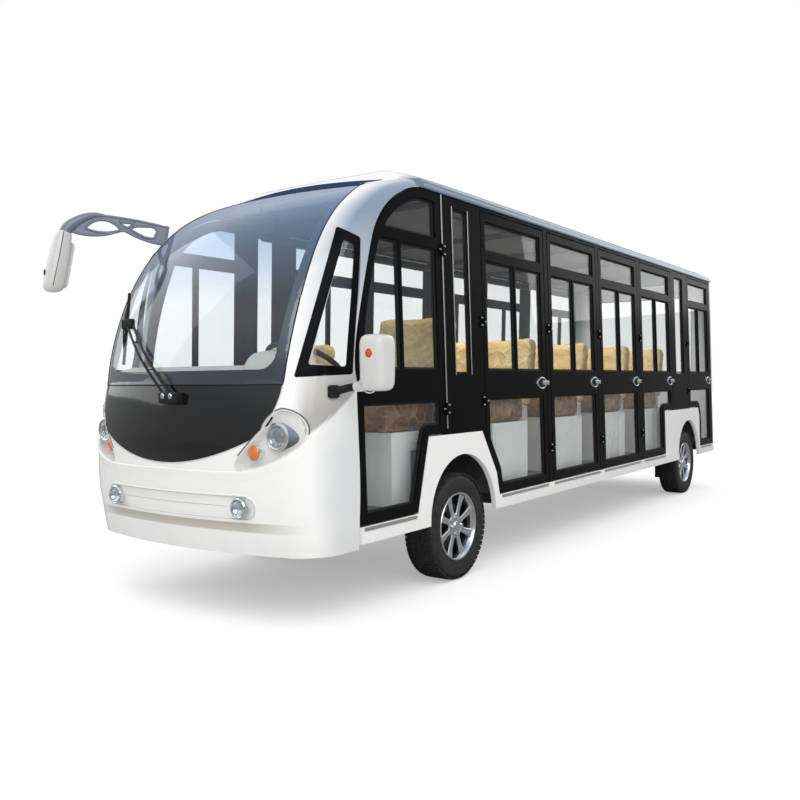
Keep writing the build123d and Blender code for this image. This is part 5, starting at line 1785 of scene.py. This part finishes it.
class CART_OT_mirrors(bpy.types.Operator):
    """Make the two outside mirrors and the wiper"""

    bl_idname = "cart.mirrors"
    bl_label = "Mirrors and wiper"

    def execute(self, context):
        self.right()
        self.left()
        self.wiper()
        return {"FINISHED"}

    def right(self):
        """Make the right mirror: lattice arm, sleeve and leaning capsule housing."""
        foot, top = Vector((-0.950, -1.247, 1.508)), Vector((-0.922, -1.195, 1.832))
        sections = []
        for run, keep in ((0.006, 0.30), (0.016, 0.55), (0.045, 0.80), (0.095, 0.95),
                          (0.180, 1.0), (0.450, 0.99), (0.700, 0.92), (0.880, 0.80),
                          (0.950, 0.70), (0.985, 0.50)):
            spot = foot.lerp(top, run)
            sections.append((spot.z, spot.x, AXLE_Y + spot.y - 0.006, 0.045 * keep, 0.053 * keep))
        Shape(egg(sections, 32, 2.6)).piece("mirror_right_housing", "mirror_shell", "root",
                                            "white_gelcoat", "mirror_right")
        seam = []
        for run in [0.10 + 0.86 * k / 20 for k in range(21)]:
            spot = foot.lerp(top, run)
            wide = 0.0445 * (1.0 if run < 0.6 else 1.0 - (run - 0.6) * 0.5)
            seam.append(Vector((spot.x + wide * 0.93, AXLE_Y + spot.y - 0.038 + 0.012 * run,
                                spot.z)))
        Shape(tube(seam, 0.0016, 8)).piece("mirror_right_seam", "rubber_seal", "root",
                                          "mirror_case", "mirror_right")
        middle = foot.lerp(top, 0.47)
        tilt = Matrix.Translation((middle.x, AXLE_Y + middle.y, middle.z)) @ Matrix.Rotation(
            math.atan2(top.y - foot.y, top.z - foot.z) * -1, 4, "X") @ Matrix.Rotation(
            math.atan2(top.x - foot.x, top.z - foot.z), 4, "Y")
        for name, coat, size, ahead, deep in (
                ("rim", "mirror_shell", (0.074, 0.240, 0.030), 0.036, 0.012),
                ("glass", "mirror_glass", (0.064, 0.228, 0.026), 0.047, 0.003)):
            loop = round_box(*size, 6)
            rings = [[(a, ahead + h, b) for a, b in loop] for h in (0.0, deep)]
            Shape().add(rounded(solid(rings), 0.001), tilt).piece(
                f"mirror_right_{name}", coat, "root", "mirror_case", "mirror_right")
        root, tip = Vector((-0.690, AXLE_Y - 0.760, 0)), Vector((-0.940, AXLE_Y - 1.230, 0))
        way = (tip - root).normalized()
        aside = way.cross(Vector((0, 0, 1)))

        def at(run, z, out=0.0):
            return root + way * run + Vector((0, 0, z)) + aside * out

        outer = (arc((-0.036, 1.886), (0.170, 1.917), (0.338, 1.927), 16)
                 + arc((0.338, 1.927), (0.436, 1.898), (0.484, 1.850), 10)
                 + [(0.478, 1.832), (0.462, 1.822)]
                 + arc((0.440, 1.814), (0.350, 1.808), (0.256, 1.827), 12)
                 + [(0.230, 1.836), (0.205, 1.842)]
                 + arc((0.185, 1.836), (0.105, 1.803), (-0.036, 1.780), 12))
        holes = (arc((0.396, 1.848), (0.318, 1.897), (0.218, 1.852), 14)
                 + arc((0.224, 1.847), (0.310, 1.832), (0.388, 1.844), 10),
                 [(0.226, 1.894), (0.146, 1.891), (0.152, 1.884), (0.178, 1.866), (0.190, 1.866),
                  (0.212, 1.878)],
                 [(0.168, 1.857), (0.136, 1.878), (0.060, 1.881), (0.040, 1.874), (0.029, 1.857),
                  (0.046, 1.820), (0.064, 1.817), (0.100, 1.822)])
        shape = Shape()
        for loop in (outer, *holes):
            inside = loop is not outer
            edge = loop if inside else grown(loop, -0.007)
            count = len(edge)
            spine = [at(x, z) for x, z in edge]
            rib = oval(0.0075, 0.0105, 10)
            path = smooth_path(spine + spine[:1], 3)[:-1] if count > 8 else spine
            shape.add(sweep(path, rib, [aside] * len(path), closed=True))
        plate = bmesh.new()
        loops = [grown(outer, -0.004)] + [grown(loop, 0.001) for loop in holes]
        for side in (-0.0045, 0.0045):
            edges = []
            for loop in loops:
                spots = [plate.verts.new(at(x, z, side)) for x, z in loop]
                edges += [plate.edges.new((spots[k - 1], spots[k])) for k in range(len(spots))]
            made = bmesh.ops.triangle_fill(plate, use_beauty=True, edges=edges)["geom"]
            for face in made:
                if isinstance(face, bmesh.types.BMFace):
                    face.normal_update()
                    if face.normal.dot(aside) * side < 0:
                        face.normal_flip()
        shape.add(part_of(plate))
        shape.piece("mirror_right_arm", "arm_slate", "root", "mirror_case", "mirror_right")
        sleeve = [at(0.300, 1.921), at(0.350, 1.918), at(0.400, 1.902), at(0.446, 1.874),
                  at(0.480, 1.844), at(0.500, 1.806)]
        Shape(tube(smooth_path(sleeve, 6), 0.030, 24, scales=[
            0.25 + 0.75 * min(1.0, k / 22) ** 0.8 for k in range(31)])).piece(
                "mirror_right_sleeve", "arm_slate", "root", "white_gelcoat", "mirror_right")

    def left(self):
        """Make the left mirror: rounded housing, neck, elbow bracket and its small lamp."""
        x, y = 0.9175, AXLE_Y - 0.9875
        sections = []
        for z, keep in ((1.002, 0.48), (1.006, 0.70), (1.015, 0.86), (1.032, 0.95),
                        (1.065, 0.985), (1.130, 1.0), (1.190, 1.0), (1.212, 0.96),
                        (1.226, 0.86), (1.233, 0.68), (1.235, 0.46)):
            sections.append((z, x, y - 0.002, 0.0620 * keep, 0.0605 * keep))
        Shape(egg(sections, 48, 4.2)).piece("mirror_left_housing", "mirror_shell", "root",
                                            "white_gelcoat", "mirror_left")
        lens = [(0.0, -0.004), (0.0150, -0.004), (0.0155, 0.0), (0.0140, 0.0030),
                (0.0080, 0.0048), (0.0, 0.0052)]
        ring = [(0.0150, -0.004), (0.0180, -0.004), (0.0182, 0.0005), (0.0165, 0.0016),
                (0.0150, 0.0005)]
        lenses, rings = Shape(), Shape()
        for spot, facing in (((0.922, AXLE_Y - 1.0495, 1.157), (0.20, -0.98, 0.0)),
                             ((-0.972, AXLE_Y - 1.2830, 1.607), (-0.60, -0.80, -0.05))):
            turn = Matrix.Translation(spot) @ Vector(facing).to_track_quat(
                "Z", "Y").to_matrix().to_4x4()
            lenses.add(lathe(lens, 28), turn)
            rings.add(lathe(ring, 28, closed=True), turn)
        lenses.piece("mirror_lamps", "orange_lens", "root", "amber_lens")
        rings.piece("mirror_lamp_rings", "black_plastic", "root", "mirror_case")
        loop = round_box(0.098, 0.190, 0.034, 6)
        rings = [[(x + a, y + 0.044 + h, 1.120 + b) for a, b in loop] for h in (0.0, 0.014)]
        Shape(rounded(solid(rings), 0.003)).piece(
            "mirror_left_rim", "black_plastic", "root", "mirror_case", "mirror_left")
        loop = round_box(0.086, 0.178, 0.029, 6)
        rings = [[(x + a, y + 0.0565 + h, 1.120 + b) for a, b in loop] for h in (0.0, 0.003)]
        Shape(solid(rings)).piece(
            "mirror_left_glass", "mirror_glass", "root", "mirror_case", "mirror_left")
        neck = smooth_path([(0.892, y - 0.012, 1.062), (0.866, y - 0.014, 1.036),
                            (0.845, y - 0.012, 1.024), (0.812, y - 0.012, 1.020)], 5)
        flare = [1.0 + 0.75 * (1 - k / 15) ** 2 for k in range(16)]
        Shape(tube(neck, 0.022, 24, scales=flare)).piece(
            "mirror_left_neck", "mirror_shell", "root", "white_gelcoat", "mirror_left")
        elbow = smooth_path([(0.822, y - 0.012, 1.020), (0.780, y - 0.016, 1.016),
                             (0.745, y - 0.034, 1.006), (0.722, y - 0.052, 1.000)], 5)
        shape = Shape(tube(elbow, 0.017, 20))
        shape.add(egg([(z, 0.724, y - 0.050, wide, deep) for z, wide, deep in (
            (0.972, 0.012, 0.020), (0.978, 0.018, 0.030), (1.022, 0.018, 0.030),
            (1.028, 0.012, 0.020))], 24))
        shape.piece("mirror_left_bracket", "black_plastic", "root", "mirror_case", "mirror_left")

    def wiper(self):
        """Make the wiper: bracket, capped pivots, the double arm and the blade."""
        def at(x, station, z):
            return Vector((x, AXLE_Y + station, z))

        lean = (0, -1, 0.3)
        shape = Shape(bar((-0.010, AXLE_Y - 1.358, 0.952), (0.110, AXLE_Y - 1.314, 1.002), 0.008))
        path = [(0.020, -1.345, 0.985), (-0.195, -1.305, 1.160), (-0.430, -1.200, 1.330)]
        flat = oval(0.0065, 0.0045, 12)
        for lift in (0.0, 0.045):
            run = smooth_path([at(x + lift, y, z) for x, y, z in path], 8)
            shape.add(sweep(run, flat, [lean] * len(run)))
        for run in (0.34, 0.72):
            a, b = Vector(path[0]).lerp(Vector(path[2]), run), Vector((0.045, 0, 0))
            bend = Vector((0, -0.030 * (1 - abs(2 * run - 1)), 0))
            shape.add(tube([at(*(a + bend)), at(*(a + bend + b))], 0.004, 10))
        shape.add(bar((-0.448, AXLE_Y - 1.218, 1.300), (-0.372, AXLE_Y - 1.190, 1.350), 0.008))
        low, high = Vector((-0.400, -1.240, 1.130)), Vector((-0.460, -1.155, 1.480))
        spine = [at(*low.lerp(high, i / 16)) for i in range(17)]
        shape.add(sweep(spine, oval(0.004, 0.009, 10), [lean] * 17))
        bow = [at(*(low.lerp(high, 0.14 + 0.72 * i / 16)))
               + Vector((0, -0.016 * math.sin(math.pi * i / 16), 0.003)) for i in range(17)]
        shape.add(sweep(bow, oval(0.005, 0.004, 10), [lean] * 17))
        shape.piece("wiper_arms", "black_plastic", "root", "wiper_metal", "wiper")
        caps = Shape()
        for x in (0.020, 0.070):
            cap = [(0.0, -0.012), (0.013, -0.012), (0.0145, -0.006), (0.014, 0.006),
                   (0.010, 0.0105), (0.0, 0.012)]
            caps.add(lathe(cap, 24), facing_ahead((x, 0.984, 0.0145, -1.350)))
        caps.piece("wiper_caps", "chrome", "root", "wiper_metal", "wiper")


class CART_OT_cabin(bpy.types.Operator):
    """Make the ceiling, dashboard, steering wheel, inside mirror and mudflaps"""

    bl_idname = "cart.cabin"
    bl_label = "Cabin"

    def execute(self, context):
        self.overhead()
        self.dashboard()
        self.steering()
        self.mirror()
        copied("mudflaps", 0.0018).piece("mudflap_sheets", "black_plastic", "root",
                                         "flap_rubber", "mudflaps")
        return {"FINISHED"}

    def overhead(self):
        """Make the dark ceiling with its black bows."""
        copied("ceiling", 0.002).piece("ceiling_panel", "ceiling_lining", "root",
                                       "ceiling_lining", "ceiling")
        bows = Shape()
        for station in (-0.060, 1.050, 1.888, 2.725, 3.770):
            outline = [(-0.030, 1.9775), (-0.027, 1.953), (-0.018, 1.944), (0.018, 1.944),
                       (0.027, 1.953), (0.030, 1.9775)]
            rings = [[(x, AXLE_Y + station + a, z) for a, z in outline] for x in (-0.670, 0.670)]
            bows.add(rounded(solid(rings), 0.003))
        bows.piece("ceiling_bows", "black_plastic", "root", "ceiling_lining", "ceiling")
        rail = Shape()
        for flip in (None, MIRROR):
            run = [(0.640, AXLE_Y + y, 1.905) for y in (-0.05, 1.2, 2.4, 3.55)]
            rail.add(tube(run, 0.011, 14), flip)
            for y in (0.05, 1.05, 1.888, 2.725, 3.45):
                rail.add(tube([(0.640, AXLE_Y + y, 1.905), (0.645, AXLE_Y + y, 1.979)],
                              0.008, 12), flip)
        rail.piece("grab_rails", "black_plastic", "root", "ceiling_lining")

    def dashboard(self):
        """Make the cream dashboard with the hood and dials ahead of the driver."""
        shape = copied("dashboard", 0.010)
        x, y = DRIVER_X, AXLE_Y - 1.015
        hood = []
        for run, high, keep in ((0.0, 0.020, 0.55), (0.025, 0.075, 0.80), (0.065, 0.105, 0.95),
                                (0.120, 0.112, 1.0), (0.150, 0.100, 1.0), (0.158, 0.050, 0.99)):
            ring = []
            for i in range(25):
                a = math.pi * i / 24
                wide = 0.185 * keep
                ring.append((x + wide * math.copysign(abs(math.cos(a)) ** 0.6, math.cos(a)),
                             y - 0.110 + run, 1.075 + high * math.sin(a) ** 0.7))
            hood.append(ring)
        shape.add(solid(hood))
        shape.piece("dashboard_body", "cream_plastic", "root", "dashboard_moulding", "dashboard")
        face = Shape()
        loop = [(x + a, 1.112 + b) for a, b in round_box(0.300, 0.100, 0.030, 5)]
        rings = [[(a, y + 0.044 + h, b) for a, b in loop] for h in (0.0, 0.006)]
        face.add(rounded(solid(rings), 0.002))
        for offset in (-0.085, 0.0, 0.085):
            dial = [(0.0, 0.0), (0.030, 0.0), (0.034, 0.004), (0.036, 0.009), (0.033, 0.009),
                    (0.030, 0.004), (0.0, 0.002)]
            face.add(lathe(dial, 28), Matrix.Translation((x + offset, y + 0.049, 1.112))
                     @ Matrix.Rotation(-TAU / 4, 4, "X"))
        for number in range(6):
            left = -0.090 + number * 0.034
            face.add(bar((left, y + 0.006, 1.020), (left + 0.026, y + 0.030, 1.045), 0.003))
        face.piece("instrument_panel", "black_plastic", "root", "dashboard_moulding")

    def steering(self):
        """Make the steering wheel with its grips, spokes, boss, column and stalks."""
        tilt = Vector((0, 0.5, 0.85)).normalized()
        place = Matrix.Translation((DRIVER_X, AXLE_Y - 0.850, 1.120)) @ tilt.to_track_quat(
            "Z", "Y").to_matrix().to_4x4()
        shape = Shape(lathe([(0.180 + a, b) for a, b in circle(0.0125, 14)], 72, closed=True))
        boss = [(0.0, 0.020), (0.030, 0.019), (0.046, 0.014), (0.054, 0.004), (0.052, -0.012),
                (0.044, -0.024), (0.0, -0.026)]
        shape.add(lathe(boss, 40))
        flat = oval(0.015, 0.0055, 14)
        for turn in (90, 210, 330):
            a = math.radians(turn)
            run = [(r * math.cos(a), r * math.sin(a), h) for r, h in
                   ((0.042, 0.002), (0.080, -0.010), (0.130, -0.010), (0.178, 0.0))]
            shape.add(sweep(smooth_path(run, 4), flat, [(0, 0, 1)] * 13))
        shape.add(lathe([(0.0, -0.020), (0.030, -0.020), (0.034, -0.050), (0.030, -0.110),
                         (0.024, -0.235), (0.0, -0.237)], 28))
        for turn in (35, 145):
            a = math.radians(turn)
            run = [(r * math.cos(a), r * math.sin(a), -0.055) for r in (0.02, 0.07, 0.125)]
            shape.add(tube(run, 0.0055, 12, scales=[1.0, 0.9, 1.35]))
        shape.piece("steering_wheel_body", "black_plastic", "root", "steering_rim",
                    "steering_wheel", place=place)

    def mirror(self):
        """Make the inside mirror on its stem."""
        low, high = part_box("interior_mirror")
        x, z = (low[0] + high[0]) / 2, 1.830
        loop = [(x + a, z + b) for a, b in round_box(0.258, 0.078, 0.034, 6)]
        rings = []
        for y, keep in ((0.002, 0.90), (0.010, 1.0), (0.024, 1.0), (0.028, 0.97)):
            rings.append([(x + (a - x) * keep, low[1] + y, z + (b - z) * keep) for a, b in loop])
        Shape(solid(rings)).add(
            tube([(x, low[1] + 0.012, z), (x, low[1] + 0.012, z + 0.060),
                  (x, low[1] + 0.006, high[2] - 0.012)], 0.0075, 14)).add(
            bar((x - 0.022, low[1] + 0.001, high[2] - 0.034),
                (x + 0.022, low[1] + 0.010, high[2] - 0.010), 0.003)).piece(
            "inside_mirror_body", "black_plastic", "root", "mirror_case", "interior_mirror")
        loop = [(x + a, z + b) for a, b in round_box(0.244, 0.064, 0.028, 6)]
        rings = [[(a, low[1] + y, b) for a, b in loop] for y in (0.026, 0.0295)]
        Shape(solid(rings)).piece(
            "inside_mirror_glass", "mirror_glass", "root", "mirror_case", "interior_mirror")


class CART_OT_seats(bpy.types.Operator):
    """Make the fluted bench bases and the film-wrapped cushions and backs"""

    bl_idname = "cart.seats"
    bl_label = "Seats"

    def execute(self, context):
        bases = Shape()
        ribs = row_grower()
        rib = rounded(solid([[(a, b, z) for a, b in oval(0.0075, 0.0065, 10)]
                             for z in (0.0, 0.320)]), 0.002, 1)
        for part in solids_of("bench_bases"):
            bases.add(softened(part, 0.012))
            xs, ys = [p.x for p in part[0]], [p.y for p in part[0]]
            if min(ys) < AXLE_Y + 0.2:
                continue
            for end in (min(xs), max(xs)):
                for start in (min(ys) + 0.030, min(ys) + 0.345):
                    bases.add(copies(ribs, rib, "bench_gelcoat", count=4,
                                     start=(end, start, FLOOR_Z + 0.012), step=(0, 0.026, 0)))
        bases.piece("bench_base_mouldings", "bench_gelcoat", "root", "bench_moulding",
                    "bench_bases")
        for node, coat, slot in (("seat_cushions", "cushion_film", "cushion_cover"),
                                 ("seat_backs", "back_film", "back_cover")):
            made = {}
            for number, part in enumerate(solids_of(node), 1):
                low, size = self.extent(part)
                kind = tuple(round(v, 3) for v in size)
                if kind not in made:
                    made[kind] = (low, puffed(part, 0.020, 0.012))
                start, pad = made[kind]
                item = Shape().add(pad, Matrix.Translation(low - start)).piece(
                    f"{node}_pad_{number}", coat, "root", slot, node, smooth=60)
        return {"FINISHED"}

    def extent(self, part):
        """Give a part's lowest corner and its size."""
        low = Vector([min(p[i] for p in part[0]) for i in range(3)])
        high = Vector([max(p[i] for p in part[0]) for i in range(3)])
        return low, high - low


class CART_OT_rear(bpy.types.Operator):
    """Make the tail lamps, the rear window's seal, the bumper strip and the bare plate"""

    bl_idname = "cart.rear"
    bl_label = "Rear"

    def execute(self, context):
        frames = Shape()
        colours = {"red_lens": Shape(), "amber_lens": Shape(), "white_lens": Shape()}
        for part in solids_of("tail_lamps"):
            frames.add(softened(part, 0.004))
            xs = [p.x for p in part[0]]
            x = (min(xs) + max(xs)) / 2
            for coat, low, high in (("red_lens", 0.770, 0.872), ("amber_lens", 0.702, 0.762),
                                    ("white_lens", 0.648, 0.694)):
                loop = [(x + a, (low + high) / 2 + b)
                        for a, b in round_box(0.086, high - low, 0.014, 4)]
                rings = []
                for rise, keep in ((-0.006, 1.0), (0.004, 1.0), (0.009, 0.93), (0.011, 0.80)):
                    rings.append([(x + (a - x) * keep, self.face(part, a), b) for a, b in loop])
                    rings[-1] = [(a, y + rise, b) for a, y, b in rings[-1]]
                colours[coat].add(solid(rings))
        frames.piece("tail_lamp_bases", "black_plastic", "root", "red_lens", "tail_lamps")
        for coat, shape in colours.items():
            shape.piece("tail_" + coat, coat, "root", "red_lens", "tail_lamps")
        self.window()
        self.bumper()
        return {"FINISHED"}

    def face(self, part, x):
        """Give the rearmost place of a part near a distance from the middle."""
        return max(p.y for p in part[0] if abs(p.x - x) < 0.06)

    def bow(self, x):
        """Give how far back the rear wall stands at a distance from the middle."""
        half, bulge = 0.760, 0.060
        radius = (half * half + bulge * bulge) / (2 * bulge)
        return AXLE_Y + 4.790 + math.sqrt(radius * radius - x * x) - (radius - bulge)

    def window(self):
        """Run the seal round the rear window."""
        loop = [(a, 1.480 + b) for a, b in round_box(1.060, 0.760, 0.060, 8)]
        dense = []
        for i, here in enumerate(loop):
            after = loop[(i + 1) % len(loop)]
            steps = max(1, round((Vector(after) - Vector(here)).length / 0.06))
            dense += line(here, after, steps)
        path = [(x, self.bow(x), z) for x, z in dense]
        seal = [(-0.012, -0.004), (0.012, -0.004), (0.011, 0.003), (0.005, 0.0055),
                (-0.005, 0.0055), (-0.011, 0.003)]
        Shape(sweep(path, seal, [(0, 1, 0)] * len(path), True)).piece(
            "rear_window_seal", "rubber_seal", "root", "black_paint")

    def bumper(self):
        """Make the rubber bumper strip, the bare plate and the small lamp bar above it."""
        path = [(x, self.bow(x) - 0.005, 0.440) for x in
                (-0.700 + 1.400 * i / 40 for i in range(41))]
        strip = [(-0.030, -0.006), (0.030, -0.006), (0.028, 0.006), (0.018, 0.010),
                 (-0.018, 0.010), (-0.028, 0.006)]
        Shape(sweep(path, strip, [(0, 1, 0)] * len(path))).piece(
            "rear_bumper_strip", "rubber_seal", "root", "black_paint")
        y = self.bow(0.0)
        plate = Shape(bar((-0.235, y - 0.004, 0.560), (0.235, y + 0.004, 0.700), 0.002))
        plate.piece("rear_plate", "aluminium", "root", "wiper_metal")
        lamp = Shape(bar((-0.060, y - 0.002, 0.712), (0.060, y + 0.005, 0.738), 0.002))
        lamp.piece("plate_lamp", "black_plastic", "root", "black_paint")


class CART_OT_underbody(bpy.types.Operator):
    """Make the springs' clamps, the brake pipes, the battery's straps and the motor's fins"""

    bl_idname = "cart.underbody"
    bl_label = "Underbody"

    def execute(self, context):
        clamps = Shape()
        for axle in (AXLE_Y, AXLE_Y + WHEELBASE):
            for x in (-0.280, 0.280):
                for shift in (-0.034, 0.034):
                    y = axle + shift
                    run = [(x - 0.031, y, 0.338), (x - 0.031, y, 0.246), (x, y, 0.240),
                           (x + 0.031, y, 0.246), (x + 0.031, y, 0.338)]
                    clamps.add(tube(run, 0.006, 10))
                clamps.add(bar((x - 0.045, axle - 0.050, 0.333), (x + 0.045, axle + 0.050, 0.341),
                               0.002, 1))
                shock = ((x + 0.06, axle + 0.06, 0.300), (x + 0.05, axle + 0.14, 0.400))
                clamps.add(tube(shock, 0.020, 18))
        clamps.piece("spring_clamps", "cast_iron", "root", "axle_steel")
        run = [(-0.235, AXLE_Y + 0.10, 0.330), (-0.238, AXLE_Y + 1.0, 0.322),
               (-0.238, AXLE_Y + 2.6, 0.322), (-0.200, AXLE_Y + 3.3, 0.330),
               (-0.150, AXLE_Y + 3.78, 0.330)]
        Shape(tube(smooth_path(run, 8), 0.005, 10)).piece("brake_pipe", "chrome", "root",
                                                          "axle_steel")
        low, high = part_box("battery_pack")
        row = row_grower()
        strap = bar((low[0] - 0.003, -0.020, low[2] - 0.003),
                    (high[0] + 0.003, 0.020, high[2] - 0.012), 0.002, 1)
        Shape(copies(row, strap, "aluminium", count=3, start=(0, low[1] + 0.12, 0),
                     step=(0, (high[1] - low[1] - 0.24) / 2, 0))).piece(
            "battery_straps", "aluminium", "root", "battery_case")
        low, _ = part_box("drive_motor")
        fin = rounded(lathe([(0.100, -0.003), (0.111, -0.003), (0.111, 0.003), (0.100, 0.003)], 48,
                            closed=True), 0.0008, 1)
        upright = Matrix.Translation((0, 0, HUB_Z)) @ Matrix.Rotation(TAU / 4, 4, "X")
        Shape(copies(row, Shape().add(fin, upright).part(), "motor_casting", count=9,
                     start=(0, low[1] + 0.035, 0), step=(0, 0.024, 0))).piece(
            "motor_fins", "motor_casting", "root", "motor_alloy")
        return {"FINISHED"}


class CART_PT_panel(bpy.types.Panel):
    """Lists the cart's steps and what can be changed"""

    bl_label = "Sightseeing Cart"
    bl_idname = "CART_PT_panel"
    bl_space_type = "VIEW_3D"
    bl_region_type = "UI"
    bl_category = "Cart"

    def draw(self, context):
        """Draw the steps, the colours and the sizes."""
        for step in STEPS:
            self.layout.operator(step.bl_idname)
        for group in (context.scene.cart_colours, context.scene.cart_sizes):
            for name in group.bl_rna.properties.keys():
                if name not in ("rna_type", "name"):
                    self.layout.prop(group, name)


STEPS = (CART_OT_stage, CART_OT_frames, CART_OT_body, CART_OT_sides, CART_OT_wheels,
         CART_OT_lamps, CART_OT_front, CART_OT_trim, CART_OT_mirrors, CART_OT_cabin,
         CART_OT_seats, CART_OT_rear, CART_OT_underbody)
CLASSES = (CartColours, CartSizes, *STEPS, CART_PT_panel)


def register():
    """Register the classes and their settings."""
    for item in CLASSES:
        bpy.utils.register_class(item)
    bpy.types.Scene.cart_colours = bpy.props.PointerProperty(type=CartColours)
    bpy.types.Scene.cart_sizes = bpy.props.PointerProperty(type=CartSizes)


def unregister():
    """Remove the classes and their settings."""
    del bpy.types.Scene.cart_sizes
    del bpy.types.Scene.cart_colours
    for item in reversed(CLASSES):
        bpy.utils.unregister_class(item)


def main():
    """Make every piece in order."""
    register()
    bpy.ops.cart.stage()
    bpy.ops.cart.frames()
    bpy.ops.cart.body()
    bpy.ops.cart.sides()
    bpy.ops.cart.wheels()
    bpy.ops.cart.lamps()
    bpy.ops.cart.front()
    bpy.ops.cart.trim()
    bpy.ops.cart.mirrors()
    bpy.ops.cart.cabin()
    bpy.ops.cart.seats()
    bpy.ops.cart.rear()
    bpy.ops.cart.underbody()


if __name__ == "__main__":
    main()
